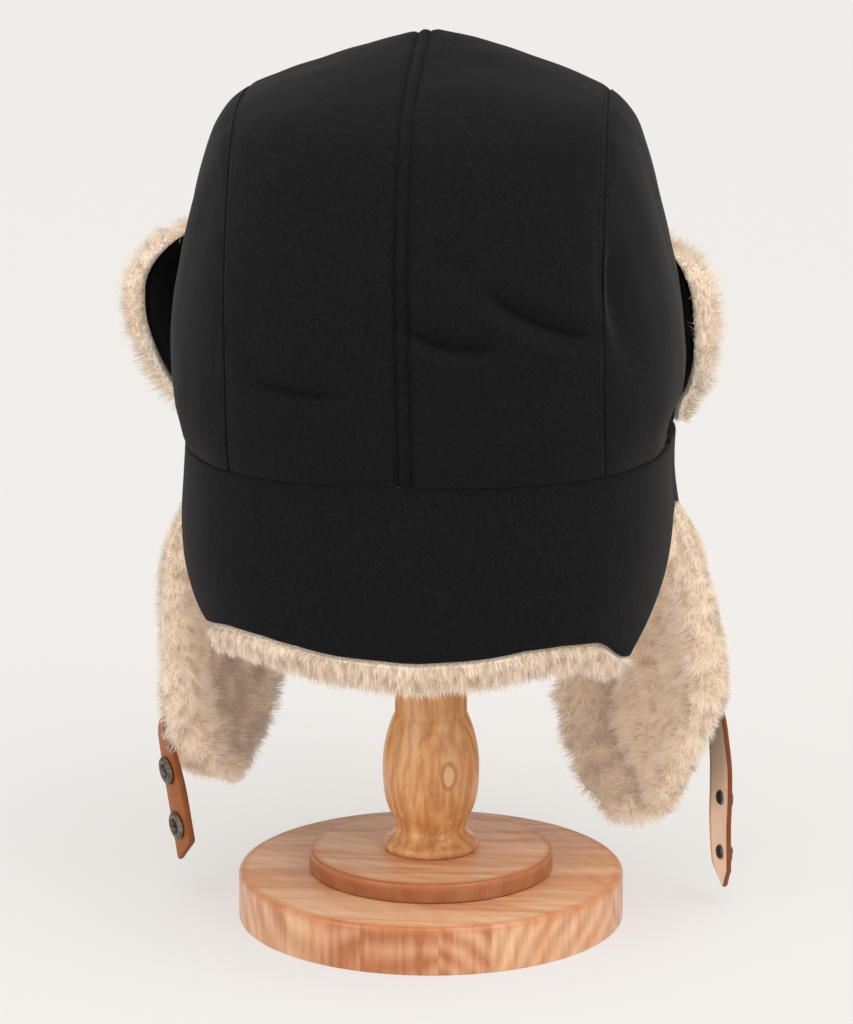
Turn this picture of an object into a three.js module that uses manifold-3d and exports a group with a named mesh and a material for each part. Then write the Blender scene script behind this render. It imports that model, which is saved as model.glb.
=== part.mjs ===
// An aviator hat of padded black cloth with a pale pile lining, held up by a turned wooden stand.
// Millimetres, +Z up. +Y is the hat's front and -Y its back.
// The origin is the centre of the stand's underside.
import * as THREE from "three";
import Module from "manifold-3d";
import { mergeVertices } from "three/addons/utils/BufferGeometryUtils.js";

const wasm = await Module();
wasm.setup();

// Driving dimensions of the hat
const RIM_Z = 193.5; // height of the seam between the crown and the flaps
const CROWN_WALL = 3.5; // shell cloth and wadding together
const FLAP_WALL = 2.4;
const PILE = 10; // length of the lining's pile
const SEAM_X = 68.5; // the seams between the top panels and the side panels lie in these planes
const SEAM_GAP = 0.4;
const RIM_GAP = 0.4; // between the crown's rim and what is sewn to it
const LAYER_GAP = 0.8; // between a flap's cloth and its pile
const FRINGE_DEPTH = { sides: 0.4, tip: 1.5 }; // under the cloth's outside, where the pile wraps its edges

// Driving dimensions of the straps and snaps
const STRAP_WIDTH = 18;
const STRAP_THICK = 2;
const STRAP_POINT = 8.5; // length of the strap's pointed end
const STRAP_TIP_SHIFT = { left: 5, right: 0 }; // from the strap's middle towards its front edge
// Where each strap is sewn to its ear flap
const STRAP_SEAT = { left: { u: 0.15, v: [6 / 11, 7 / 11] }, right: { u: 0.16, v: [5 / 11, 6 / 11] } };
const STRAP_GAP = 0.8;
const SNAP_PITCH = 22.4;
const SNAP_TO_TIP = 14.5;
const SNAP_R = 5.7;
const SNAP_HOLE_R = 2.1;
const SNAP_GAP = 0.4;

// Driving dimensions of the stand
const BASE_R = 75;
const BASE_H = 19;
const RISER_R = 47.5;
const RISER_H = 7.6;
const CAP_R = 42;
const CAP_H = 38;
const CAP_DROP = 7.2; // from the crown's peak to the top of the cap's dome
const EDGE_R = 2.2; // rounded upper edges of the turned discs
const FOOT_EDGE = 0.8; // the bevel on their lower edges
const JOIN_GAP = 0.3; // between the turned pieces

// Sections of the crown's outside from the rim to the top: height, half width, half depth, squareness
const CROWN = [
  { z: RIM_Z, side: 92.0, back: 101, front: 101, square: 2.5 },
  { z: 201.5, side: 95.5, back: 104, front: 104, square: 2.5 },
  { z: 217.5, side: 97.0, back: 106, front: 106, square: 2.45 },
  { z: 243.5, side: 95.5, back: 106, front: 106, square: 2.4 },
  { z: 266.5, side: 91.5, back: 103, front: 103, square: 2.35 },
  { z: 287.5, side: 86.5, back: 96, front: 97, square: 2.3 },
  { z: 303.5, side: 82.0, back: 88, front: 89, square: 2.3 },
  { z: 314.5, side: 77.5, back: 79, front: 80, square: 2.3 },
  { z: 322.5, side: 69.5, back: 68, front: 69, square: 2.2 },
  { z: 329.5, side: 54.0, back: 54, front: 55, square: 2.1 },
  { z: 335.5, side: 38.0, back: 39, front: 39, square: 2.05 },
  { z: 341.5, side: 20.0, back: 21, front: 21, square: 2 },
  { z: 345.7, side: 3.6, back: 3.6, front: 3.6, square: 2 },
  { z: 346.5, side: 0, back: 0, front: 0, square: 2 },
];

const CROWN_LEAN = -1.5; // the soft crown leans to its left between the rim and the peak

// Folds pressed into the crown's back, each along a shallow arc seen from behind
const CROWN_FOLDS = [
  { fromX: 2, fromZ: 251.5, toX: 34, toZ: 245.5, sag: 3, deep: 1.7, wide: 5.5 },
  { fromX: 29, fromZ: 264.5, toX: 66, toZ: 246.5, sag: 3, deep: 1.9, wide: 5.5 },
  { fromX: 11, fromZ: 277.5, toX: 26, toZ: 271.5, sag: 1, deep: 0.8, wide: 5 },
  { fromX: -58, fromZ: 230.5, toX: -22, toZ: 227.5, sag: 2, deep: 1.5, wide: 5.5 },
  { fromX: 70, fromZ: 277.5, toX: 82, toZ: 233.5, sag: 3, deep: 1.8, wide: 6 },
];

// Sections of the neck flap from the rim to the hem, with the angle of its side edges from the back
const NECK = [
  { z: RIM_Z - RIM_GAP, side: 92.3, back: 101.5, square: 2.5, edge: 83 },
  { z: 181.5, side: 92.9, back: 103.5, square: 2.55, edge: 84 },
  { z: 165.5, side: 93.6, back: 105, square: 2.65, edge: 83 },
  { z: 151.5, side: 92.8, back: 105.5, square: 2.75, edge: 77 },
  { z: 139, side: 90.8, back: 105, square: 2.85, edge: 67 },
  { z: 128.5, side: 89, back: 104, square: 2.95, edge: 56 },
];
// The hem's rise beside its middle, and how far each corner hangs from that
const NECK_HEM = { rise: 6.5, left: 1, right: 10.5 };
const NECK_FRINGE = 5; // each of the two rows of pile below the hem

// The side panels are drawn in over the rim, and the right one more, where the front flap's end presses on it
const SIDE_PINCH = { z: 201.5, y: 0, tall: 8, long: 45, left: 2.5, right: 5.5 };

// Sections of an ear flap's outside from the rim to the tip: its rear and front edges in plan,
// mirrored for the left flap, and how far the cloth bows out between them
const EAR = {
  right: [
    { z: RIM_Z - RIM_GAP, rearX: 91.6, rearY: -10.5, frontX: 63, frontY: 78, bow: 12 },
    { z: 179.5, rearX: 90.5, rearY: -11, frontX: 63, frontY: 80, bow: 13 },
    { z: 165.5, rearX: 93.5, rearY: -11, frontX: 62.5, frontY: 82, bow: 12.5 },
    { z: 152.5, rearX: 99, rearY: -10, frontX: 62, frontY: 84, bow: 11 },
    { z: 133.5, rearX: 105, rearY: -8, frontX: 61, frontY: 85.5, bow: 8.5 },
    { z: 111.5, rearX: 110, rearY: -5, frontX: 60.5, frontY: 86, bow: 6.5 },
    { z: 89.5, rearX: 111.5, rearY: 0, frontX: 60, frontY: 85, bow: 5 },
    { z: 72.5, rearX: 105.5, rearY: 6, frontX: 60, frontY: 83, bow: 4.5 },
    { z: 56.5, rearX: 100.5, rearY: 14, frontX: 61.5, frontY: 80, bow: 4 },
    { z: 42.5, rearX: 96, rearY: 23, frontX: 65.5, frontY: 75, bow: 3.5 },
    { z: 33.5, rearX: 91, rearY: 33, frontX: 71, frontY: 67.5, bow: 2.5 },
    { z: 30.5, rearX: 85, rearY: 43, frontX: 77, frontY: 57, bow: 1 },
  ],
  left: [
    { z: RIM_Z - RIM_GAP, rearX: 91.6, rearY: -10.5, frontX: 63, frontY: 78, bow: 12 },
    { z: 179.5, rearX: 90.5, rearY: -11, frontX: 64, frontY: 80, bow: 13 },
    { z: 165.5, rearX: 93, rearY: -11, frontX: 65, frontY: 81.5, bow: 12.5 },
    { z: 152.5, rearX: 98.5, rearY: -10, frontX: 66.5, frontY: 83, bow: 11 },
    { z: 135.5, rearX: 102, rearY: -9, frontX: 68.5, frontY: 84, bow: 9 },
    { z: 116.5, rearX: 102.5, rearY: -7, frontX: 71, frontY: 84, bow: 7 },
    { z: 98.5, rearX: 102, rearY: -4, frontX: 73.5, frontY: 83, bow: 5.5 },
    { z: 83.5, rearX: 101.5, rearY: -1, frontX: 75.5, frontY: 81.5, bow: 4.5 },
    { z: 69.5, rearX: 99.5, rearY: 5, frontX: 78, frontY: 79, bow: 4 },
    { z: 57.5, rearX: 96, rearY: 14, frontX: 81, frontY: 74, bow: 3.5 },
    { z: 49.5, rearX: 91.5, rearY: 25, frontX: 83.5, frontY: 66, bow: 2.5 },
    { z: 46.5, rearX: 88, rearY: 35, frontX: 85, frontY: 55, bow: 1 },
  ],
};
const EAR_FRINGE = 0.065; // how far the pile reaches past each side edge, as a part of the width
const TIP_FRINGE = 4; // how far it reaches below the tip

// Sections of the turned-up front flap from its fold under the rim to its upper edge: the angle of its ends
// from the front, how far it stands off the crown all round, and the share of its ends' flare
const FRONT = [
  { z: 187.5, edge: 61, stand: 3.4, flare: 0.1 },
  { z: 200.5, edge: 66, stand: 1.4, flare: 0.35 },
  { z: 214.5, edge: 69, stand: 1.0, flare: 0.65 },
  { z: 230.5, edge: 70.5, stand: 1.0, flare: 0.93 },
  { z: 246.5, edge: 69.5, stand: 1.0, flare: 1 },
  { z: 259.5, edge: 65, stand: 1.0, flare: 0.75 },
  { z: 266.5, edge: 54, stand: 1.0, flare: 0.55 },
];
const FRONT_FLARE = { left: 20, right: 5 }; // how far each end stands off the crown
const FRONT_FRINGE = 0.02; // how far the pile reaches past each end, as a part of the width
const FRONT_TOP_FRINGE = 5;

// Route of each strap's middle line below its seat, down to its tip, and where its outer face looks in plan
const STRAP_ROUTE = {
  left: [
    { x: -104.6, y: 9.5, z: 73, face: 200 },
    { x: -103.4, y: 9, z: 60, face: 209 },
    { x: -100.4, y: 8, z: 43, face: 210 },
    { x: -96.0, y: 6, z: 17.5, face: 211 },
  ],
  right: [
    { x: 110.6, y: 17.5, z: 73, face: 24 },
    { x: 112.4, y: 20, z: 59, face: 25 },
    { x: 112.6, y: 21, z: 45.5, face: 25 },
    { x: 112.3, y: 21, z: 31.5, face: 23 },
    { x: 113.6, y: 21, z: 6, face: 19 },
  ],
};

// Half profile of the turned post, from its foot up
const POST = [
  { r: 18.0, z: 0 },
  { r: 18.7, z: 1.2 },
  { r: 18.1, z: 3.2 },
  { r: 15.5, z: 5.4 },
  { r: 13.7, z: 8.4 },
  { r: 14.4, z: 12.0 },
  { r: 16.5, z: 16.2 },
  { r: 18.0, z: 21.6 },
  { r: 18.7, z: 28.6 },
  { r: 18.7, z: 35.6 },
  { r: 18.0, z: 41.6 },
  { r: 16.6, z: 47.6 },
  { r: 15.0, z: 52.2 },
  { r: 14.0, z: 54.6 },
];

// Numbers of steps in the solids, across and along
const STEPS = {
  topPanel: [8, 26],
  sidePanel: [10, 8],
  neck: [22, 5],
  ear: [9, 11],
  front: [22, 6],
  strap: [2, 18],
  disc: 36,
  post: 20,
  cap: 24,
  snap: 10,
};

const MATERIALS = {
  cloth: new THREE.MeshStandardMaterial({ color: 0x1e1e20, roughness: 0.92, metalness: 0 }),
  pile: new THREE.MeshStandardMaterial({ color: 0xd8c4ac, roughness: 0.95, metalness: 0 }),
  leather: new THREE.MeshStandardMaterial({ color: 0xa86b45, roughness: 0.6, metalness: 0 }),
  snap: new THREE.MeshStandardMaterial({ color: 0x4a443c, roughness: 0.4, metalness: 0.9 }),
  wood: new THREE.MeshStandardMaterial({ color: 0xd2a06f, roughness: 0.45, metalness: 0 }),
};

const radians = THREE.MathUtils.degToRad;
const mix = THREE.MathUtils.lerp;
const smooth = THREE.MathUtils.smoothstep;
const power = (value, exponent) => Math.sign(value) * Math.abs(value) ** exponent;

// Every column of a table at a place between its rows, along a curve through them
function between(rows, place) {
  const last = rows.length - 1;
  const low = Math.min(Math.max(Math.floor(place), 0), last - 1);
  const part = place - low;
  const row = (index) => rows[Math.min(Math.max(index, 0), last)];
  const found = {};
  for (const key of Object.keys(rows[0])) {
    const [p, a, b, n] = [row(low - 1)[key], row(low)[key], row(low + 1)[key], row(low + 2)[key]];
    const [leave, arrive] = [(b - p) / 2, (n - a) / 2];
    const bend = (2 * a - 2 * b + leave + arrive) * part + (3 * b - 3 * a - 2 * leave - arrive);
    found[key] = a + part * (leave + part * bend);
  }
  return found;
}

// Turns a list of points and triangles into a closed geometry that faces out
function closedGeometry(points, triangles) {
  const loose = new THREE.BufferGeometry().setFromPoints(triangles.flat().map((i) => points[i]));
  const merged = mergeVertices(loose, 1e-4);
  const index = merged.index.array;
  const at = (i) => new THREE.Vector3().fromBufferAttribute(merged.attributes.position, i);
  const kept = [];
  let volume = 0;
  for (let i = 0; i < index.length; i += 3) {
    const [a, b, c] = [index[i], index[i + 1], index[i + 2]];
    if (a === b || b === c || c === a) continue;
    kept.push([a, b, c]);
    volume += at(a).dot(at(b).cross(at(c)));
  }
  merged.setIndex(kept.flatMap(([a, b, c]) => (volume < 0 ? [a, c, b] : [a, b, c])));
  merged.computeVertexNormals();
  return merged;
}

// A closed solid between two faces, each a function of u and v from 0 to 1 and of the grid's step
function sheetSolid(face, back, [across, along]) {
  const points = [];
  const triangles = [];
  const quad = (a, b, c, d) => triangles.push([a, b, c], [a, c, d]);
  const place = (side, i, j) => (side * (along + 1) + j) * (across + 1) + i;
  for (const surface of [face, back])
    for (let j = 0; j <= along; j++)
      for (let i = 0; i <= across; i++) points.push(surface(i / across, j / along, i, j));
  for (let j = 0; j < along; j++)
    for (let i = 0; i < across; i++) {
      quad(place(0, i, j), place(0, i + 1, j), place(0, i + 1, j + 1), place(0, i, j + 1));
      quad(place(1, i, j), place(1, i, j + 1), place(1, i + 1, j + 1), place(1, i + 1, j));
    }
  for (let i = 0; i < across; i++) {
    quad(place(0, i, 0), place(1, i, 0), place(1, i + 1, 0), place(0, i + 1, 0));
    quad(place(0, i + 1, along), place(1, i + 1, along), place(1, i, along), place(0, i, along));
  }
  for (let j = 0; j < along; j++) {
    quad(place(0, 0, j + 1), place(1, 0, j + 1), place(1, 0, j), place(0, 0, j));
    quad(place(0, across, j), place(1, across, j), place(1, across, j + 1), place(0, across, j + 1));
  }
  return closedGeometry(points, triangles);
}

// A LatheGeometry about +Z from a list of radius and height pairs
function turned(profile, steps) {
  const outline = profile.map(([r, z]) => new THREE.Vector2(r, z));
  return new THREE.LatheGeometry(outline, steps).rotateX(Math.PI / 2);
}

// Cuts one closed geometry out of another
function cut(geometry, tools) {
  const solid = (shape) => {
    const bare = shape.clone();
    bare.deleteAttribute("normal");
    bare.deleteAttribute("uv");
    const merged = mergeVertices(bare, 1e-4);
    return new wasm.Manifold(
      new wasm.Mesh({
        numProp: 3,
        vertProperties: merged.attributes.position.array,
        triVerts: new Uint32Array(merged.index.array),
      }),
    );
  };
  const left = tools.reduce((whole, tool) => whole.subtract(solid(tool)), solid(geometry)).getMesh();
  const result = new THREE.BufferGeometry();
  result.setAttribute("position", new THREE.BufferAttribute(left.vertProperties, 3));
  result.setIndex(new THREE.BufferAttribute(left.triVerts, 1));
  result.computeVertexNormals();
  return result;
}

// The crown's section at a place between its rows, drawn in by a depth under its outside
function crownSection(place, inset) {
  const { z, side, back, front, square } = between(CROWN, place);
  const lid = smooth(place, 5, 10); // the wall's inside lies lower only under the crown's top
  return { z: z - inset * lid, side: side - inset, back: back - inset, front: front - inset, square };
}

// The highest place between the rows at which the crown is still as wide as x
function crownTop(x, inset) {
  let [low, high] = [3, CROWN.length - 1];
  for (let step = 0; step < 40; step++) {
    const middle = (low + high) / 2;
    if (crownSection(middle, inset).side > x) low = middle;
    else high = middle;
  }
  return low;
}

// How far a point on the crown's back is pressed in by the folds
function foldDepth(x, z) {
  let depth = 0;
  for (const fold of CROWN_FOLDS) {
    const [runX, runZ] = [fold.toX - fold.fromX, fold.toZ - fold.fromZ];
    const length = Math.hypot(runX, runZ);
    const along = ((x - fold.fromX) * runX + (z - fold.fromZ) * runZ) / length ** 2;
    const sag = fold.sag * 4 * along * (1 - along);
    const off = ((z - fold.fromZ) * runX - (x - fold.fromX) * runZ) / length + sag;
    const fade = smooth(along, -0.15, 0.2) * (1 - smooth(along, 0.75, 1.15));
    const valley = Math.exp(-((off / fold.wide) ** 2));
    const roll = Math.exp(-(((off + 1.8 * fold.wide) / fold.wide) ** 2));
    depth += fold.deep * fade * (valley - 0.5 * roll);
  }
  return depth;
}

// The crown's points lean together, most at the height of the shoulders
function lean(point) {
  point.x += CROWN_LEAN * smooth(point.z, RIM_Z, 288) * (1 - smooth(point.z, 322, 346));
  return point;
}

// A point on a top panel: x across it, w from -1 at the back rim over the top to 1 at the front rim
function topPanelPoint(x, w, inset) {
  const section = crownSection(crownTop(Math.abs(x), inset) * (1 - w * w), inset);
  const reach = w < 0 ? section.back : section.front;
  const share = Math.min(Math.abs(x) / Math.max(section.side, 1e-6), 1);
  const y = reach * (1 - share ** section.square) ** (1 / section.square);
  const pressed = w < 0 ? foldDepth(x, section.z) : 0;
  return lean(new THREE.Vector3(x, w < 0 ? -y + pressed : y, section.z));
}

function topPanel(sign) {
  const xAt = (u) => sign * mix(SEAM_GAP / 2, SEAM_X - SEAM_GAP / 2, u);
  // More steps go to the back, where the folds are
  const wAt = (v) => mix(-1, 1, v) - 0.22 * Math.sin(Math.PI * v);
  const face = (inset) => (u, v) => topPanelPoint(xAt(u), wAt(v), inset);
  return sheetSolid(face(0), face(CROWN_WALL), STEPS.topPanel);
}

// A point on a side panel: s from -1 at its back seam to 1 at its front seam, w from 0 at its top to the rim
function sidePanelPoint(sign, s, w, inset) {
  const edge = SEAM_X + SEAM_GAP / 2;
  const section = crownSection(crownTop(edge, inset) * (1 - w * w), inset);
  const reach = s < 0 ? section.back : section.front;
  const seam = reach * (1 - Math.min(edge / section.side, 1) ** section.square) ** (1 / section.square);
  const y = s * seam;
  const x = section.side * (1 - (Math.abs(y) / reach) ** section.square) ** (1 / section.square);
  const fold = s < 0 ? foldDepth(sign * x, section.z) * Math.abs(s) : 0;
  const deep = sign < 0 ? SIDE_PINCH.left : SIDE_PINCH.right;
  const [long, tall] = [(y - SIDE_PINCH.y) / SIDE_PINCH.long, (section.z - SIDE_PINCH.z) / SIDE_PINCH.tall];
  const pressed = (fold + deep * Math.exp(-(long ** 2) - tall ** 2)) * smooth(x, edge, edge + 4);
  return lean(new THREE.Vector3(sign * Math.max(x - pressed, edge), y, section.z));
}

function sidePanel(sign) {
  // The steps are short at the seams, where the panel turns fast
  const sAt = (u) => Math.sin((mix(-1, 1, u) * Math.PI) / 2);
  const face = (inset) => (u, v) => sidePanelPoint(sign, sAt(u), mix(0.02, 1, v), inset);
  return sheetSolid(face(0), face(CROWN_WALL), STEPS.sidePanel);
}

// A point on the neck flap at a depth under its outside: u from its left edge to its right,
// v from the rim to the hem and past it, over the fringe
function neckPoint(u, v, depth) {
  const row = between(NECK, Math.min(v, 1) * (NECK.length - 1));
  const turn = mix(-1, 1, u);
  const angle = radians(turn * row.edge);
  const x = (row.side - depth) * power(Math.sin(angle), 2 / row.square);
  const y = -(row.back - depth) * power(Math.cos(angle), 2 / row.square);
  const corner = turn < 0 ? NECK_HEM.left : NECK_HEM.right;
  const wave = NECK_HEM.rise * smooth(Math.abs(turn), 0.1, 0.85);
  const hang = corner * smooth(Math.abs(turn), 0.72, 1);
  const fringe = NECK_FRINGE * Math.max(v - 1, 0);
  return new THREE.Vector3(x, y, row.z + (wave - hang) * Math.min(v, 1) ** 2 - fringe);
}

// A point on an ear flap at a depth under its outside: u from its rear edge to its front,
// v from the rim to the tip, and both past the edges over the fringe
function earPoint(side, u, v, depth) {
  const sign = side === "left" ? -1 : 1;
  const row = between(EAR[side], Math.min(v, 1) * (EAR[side].length - 1));
  const rear = new THREE.Vector2(row.rearX, row.rearY);
  const chord = new THREE.Vector2(row.frontX, row.frontY).sub(rear);
  const width = chord.length();
  const forward = chord.divideScalar(width);
  const outward = new THREE.Vector2(forward.y, -forward.x);
  const slope = Math.atan2(4 * row.bow * (1 - 2 * u), width);
  const along = u * width + depth * Math.sin(slope);
  const out = 4 * row.bow * u * (1 - u) - depth * Math.cos(slope);
  const plan = rear.addScaledVector(forward, along).addScaledVector(outward, out);
  return new THREE.Vector3(sign * plan.x, plan.y, row.z - TIP_FRINGE * Math.max(v - 1, 0));
}

// A point on the turned-up front flap at a depth under its cloth face, which lies against the crown:
// u from its left end to its right, v from its fold to its upper edge, and both past the edges
function frontPoint(u, v, depth) {
  const row = between(FRONT, Math.min(v, 1) * (FRONT.length - 1));
  const below = Math.max(CROWN.findLastIndex((section) => section.z <= row.z), 0);
  const part = Math.max(row.z - CROWN[below].z, 0) / (CROWN[below + 1].z - CROWN[below].z);
  const section = between(CROWN, below + part);
  const turn = mix(-1, 1, u);
  const angle = radians(turn * row.edge);
  const flare = turn < 0 ? FRONT_FLARE.left : FRONT_FLARE.right;
  const off = row.stand + depth + flare * row.flare * smooth(Math.abs(turn), 0.55, 1);
  const x = (section.side + off) * power(Math.sin(angle), 2 / section.square);
  const y = (section.front + off) * power(Math.cos(angle), 2 / section.square);
  return lean(new THREE.Vector3(x, y, row.z + FRONT_TOP_FRINGE * Math.max(v - 1, 0)));
}

// A flap of cloth, from its face at no depth to its other side
const flap = (point, steps) =>
  sheetSolid(
    (u, v) => point(u, v, 0),
    (u, v) => point(u, v, FLAP_WALL),
    steps,
  );

// The pile behind a flap, in the cloth's own steps and one or more past each edge that has a fringe.
// Every other step stands full as a lock and the next lies low, and the fringe wraps the cloth's edges.
function pile(point, [across, along], { sides = 0, rows = 1 }) {
  const inner = Array.from({ length: across + 1 }, (_, i) => i / across);
  const us = sides ? [-sides, ...inner, 1 + sides] : inner;
  const vs = Array.from({ length: along + 1 + rows }, (_, j) => (j <= along ? j / along : j - along + 1));
  const loose = (j) => mix(0.2, 1, smooth(vs[j], 0.1, 0.5)); // little where the flap is sewn to the rim
  const uAt = (i, j) => {
    const edge = THREE.MathUtils.clamp(us[i], 0, 1);
    return edge + (us[i] - edge) * loose(j);
  };
  const wrap = (j) => loose(j) * (1 - smooth(vs[j], 0.75, 1)); // none at the corners of the last row
  const backing = (i, j) => {
    const behind = FLAP_WALL + LAYER_GAP;
    if (vs[j] > 1) return FRINGE_DEPTH.tip;
    return us[i] < 0 || us[i] > 1 ? mix(behind, FRINGE_DEPTH.sides, wrap(j)) : behind;
  };
  const height = (i, j) => {
    const lock = (i + j) % 2 ? 1 : 0.72;
    const fringe = us[i] < 0 || us[i] > 1 ? 0.6 : 1;
    const end = j === 0 ? 0.3 : j === vs.length - 1 ? 0.7 : 1;
    return PILE * lock * fringe * end;
  };
  return sheetSolid(
    (u, v, i, j) => point(uAt(i, j), vs[j], backing(i, j)),
    (u, v, i, j) => point(uAt(i, j), vs[j], backing(i, j) + height(i, j)),
    [us.length - 1, vs.length - 1],
  );
}

// A place on an ear flap's outside where the strap's inner face lies, and where it looks in plan
function strapSeat(side, v) {
  const [on, under] = [0, 1].map((depth) => earPoint(side, STRAP_SEAT[side].u, v, depth));
  const out = on.clone().sub(under);
  const place = on.addScaledVector(out, STRAP_GAP);
  const face = THREE.MathUtils.radToDeg(Math.atan2(out.y, out.x));
  return { x: place.x, y: place.y, z: place.z, face };
}

// A strap's line: its length, and the place and directions at a distance from its root
function strapLine(side) {
  const route = [...STRAP_SEAT[side].v.map((v) => strapSeat(side, v)), ...STRAP_ROUTE[side]];
  const curve = new THREE.CatmullRomCurve3(route.map(({ x, y, z }) => new THREE.Vector3(x, y, z)));
  const length = curve.getLength();
  const frame = (distance) => {
    const share = distance / length;
    const face = radians(between(route, share * (route.length - 1)).face);
    const down = curve.getTangentAt(share);
    const out = new THREE.Vector3(Math.cos(face), Math.sin(face), 0);
    const across = new THREE.Vector3().crossVectors(down, out).normalize();
    out.crossVectors(across, down).normalize();
    return new THREE.Matrix4().makeBasis(across, down, out).setPosition(curve.getPointAt(share));
  };
  return { length, frame };
}

// Where the strap's two snaps sit, as distances from its root
const snapPlaces = (length) => [length - SNAP_TO_TIP - SNAP_PITCH, length - SNAP_TO_TIP];

function strap(side) {
  const { length, frame } = strapLine(side);
  const half = (distance) => {
    const round = Math.min(distance / 4, 1);
    const point = Math.min((length - distance) / STRAP_POINT, 1);
    return (STRAP_WIDTH / 2) * Math.min(Math.sqrt(round * (2 - round)) * 0.25 + 0.75, 0.06 + 0.94 * point);
  };
  const shift = (distance) => STRAP_TIP_SHIFT[side] * Math.max(1 - (length - distance) / STRAP_POINT, 0);
  const face = (height) => (u, v) => {
    const distance = v * length;
    const across = mix(-1, 1, u) * half(distance) + shift(distance);
    return new THREE.Vector3(across, 0, height).applyMatrix4(frame(distance));
  };
  const body = sheetSolid(face(STRAP_THICK), face(0), STEPS.strap);
  const holes = snapPlaces(length).map((distance) => {
    const drill = new THREE.CylinderGeometry(SNAP_HOLE_R, SNAP_HOLE_R, 12, STEPS.snap).rotateX(Math.PI / 2);
    return drill.applyMatrix4(frame(distance));
  });
  return cut(body, holes);
}

// Profiles of the two kinds of snap through a strap, as radius and height over the strap's inner face.
// Both have a small rivet head on the inner face.
const SNAP_POST_R = SNAP_HOLE_R - SNAP_GAP;
const OVER = STRAP_THICK + SNAP_GAP; // where the outer part begins
const RIVET = [
  [0, -1.3],
  [2.4, -1.2],
  [3.1, -SNAP_GAP],
  [SNAP_POST_R, -SNAP_GAP],
  [SNAP_POST_R, OVER],
];
const SNAP = {
  // a ring with a deep middle
  socket: [
    [SNAP_R, OVER],
    [SNAP_R - 0.5, OVER + 1.5],
    [3.4, OVER + 1.8],
    [2.5, OVER + 1.2],
    [2.4, OVER + 0.5],
    [0, OVER + 0.5],
  ],
  // a saucer with a ball in its middle
  stud: [
    [SNAP_R, OVER],
    [SNAP_R - 0.4, OVER + 0.9],
    [2.3, OVER + 0.6],
    [1.8, OVER + 1.2],
    [2.1, OVER + 2.2],
    [0, OVER + 2.8],
  ],
};

const snap = (side, kind, index) => {
  const { length, frame } = strapLine(side);
  return turned([...RIVET, ...SNAP[kind]], STEPS.snap).applyMatrix4(frame(snapPlaces(length)[index]));
};

// A disc with a rounded upper edge
function disc(radius, height) {
  const [r, z] = [radius - EDGE_R, height - EDGE_R];
  const edge = [0, 30, 60, 90].map(radians);
  const rounded = edge.map((a) => [r + EDGE_R * Math.cos(a), z + EDGE_R * Math.sin(a)]);
  return turned([[0, 0], [radius - FOOT_EDGE, 0], [radius, FOOT_EDGE], ...rounded, [0, height]], STEPS.disc);
}

// Heights of the stand's pieces
const RISER_Z = BASE_H + JOIN_GAP;
const POST_Z = RISER_Z + RISER_H + JOIN_GAP;
const CAP_TOP = CROWN[CROWN.length - 1].z - CAP_DROP;
const CAP_Z = CAP_TOP - CAP_H;
const SPIGOT = { r: 10, length: 14 }; // the post's upper end, held in the cap

function standPost() {
  const top = CAP_Z - JOIN_GAP - POST_Z;
  const outline = POST.map(({ r, z }) => [r, z]);
  const shoulder = [[14, top], [SPIGOT.r, top], [SPIGOT.r, top + SPIGOT.length], [0, top + SPIGOT.length]];
  return turned([[0, 0], ...outline, ...shoulder], STEPS.post);
}

// The cap's dome keeps just under the crown's lining, flatter at the top and round at its edge
function standCap() {
  const arc = [0, 20, 40, 55, 70, 90].map(radians);
  const dome = arc.map((a) => [CAP_R * Math.cos(a), 14 + (CAP_H - 14) * Math.sin(a)]);
  const socket = [
    [0, SPIGOT.length + 2 * JOIN_GAP],
    [SPIGOT.r + JOIN_GAP, SPIGOT.length + 2 * JOIN_GAP],
    [SPIGOT.r + JOIN_GAP, 0],
  ];
  return turned([...socket, [30, 0], [38, 4], ...dome], STEPS.cap);
}

const hat = new THREE.Group();
const stand = new THREE.Group();

function add(group, name, geometry, material, height = 0) {
  const mesh = new THREE.Mesh(geometry, material);
  mesh.name = name;
  mesh.position.z = height;
  group.add(mesh);
}

add(stand, "stand_base", disc(BASE_R, BASE_H), MATERIALS.wood);
add(stand, "stand_riser", disc(RISER_R, RISER_H), MATERIALS.wood, RISER_Z);
add(stand, "stand_post", standPost(), MATERIALS.wood, POST_Z);
add(stand, "stand_cap", standCap(), MATERIALS.wood, CAP_Z);

for (const [side, sign] of [["left", -1], ["right", 1]]) {
  const ear = (u, v, depth) => earPoint(side, u, v, depth);
  const kind = side === "left" ? "socket" : "stud";
  add(hat, `crown_top_${side}`, topPanel(sign), MATERIALS.cloth);
  add(hat, `crown_side_${side}`, sidePanel(sign), MATERIALS.cloth);
  add(hat, `ear_flap_${side}`, flap(ear, STEPS.ear), MATERIALS.cloth);
  add(hat, `ear_pile_${side}`, pile(ear, STEPS.ear, { sides: EAR_FRINGE }), MATERIALS.pile);
  add(hat, `strap_${side}`, strap(side), MATERIALS.leather);
  add(hat, `snap_${side}_upper`, snap(side, kind, 0), MATERIALS.snap);
  add(hat, `snap_${side}_lower`, snap(side, kind, 1), MATERIALS.snap);
}
add(hat, "neck_flap", flap(neckPoint, STEPS.neck), MATERIALS.cloth);
add(hat, "neck_pile", pile(neckPoint, STEPS.neck, { rows: 2 }), MATERIALS.pile);
add(hat, "front_flap", flap(frontPoint, STEPS.front), MATERIALS.cloth);
add(hat, "front_pile", pile(frontPoint, STEPS.front, { sides: FRONT_FRINGE }), MATERIALS.pile);

const part = new THREE.Group();
part.add(hat, stand);

export default part;
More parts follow.
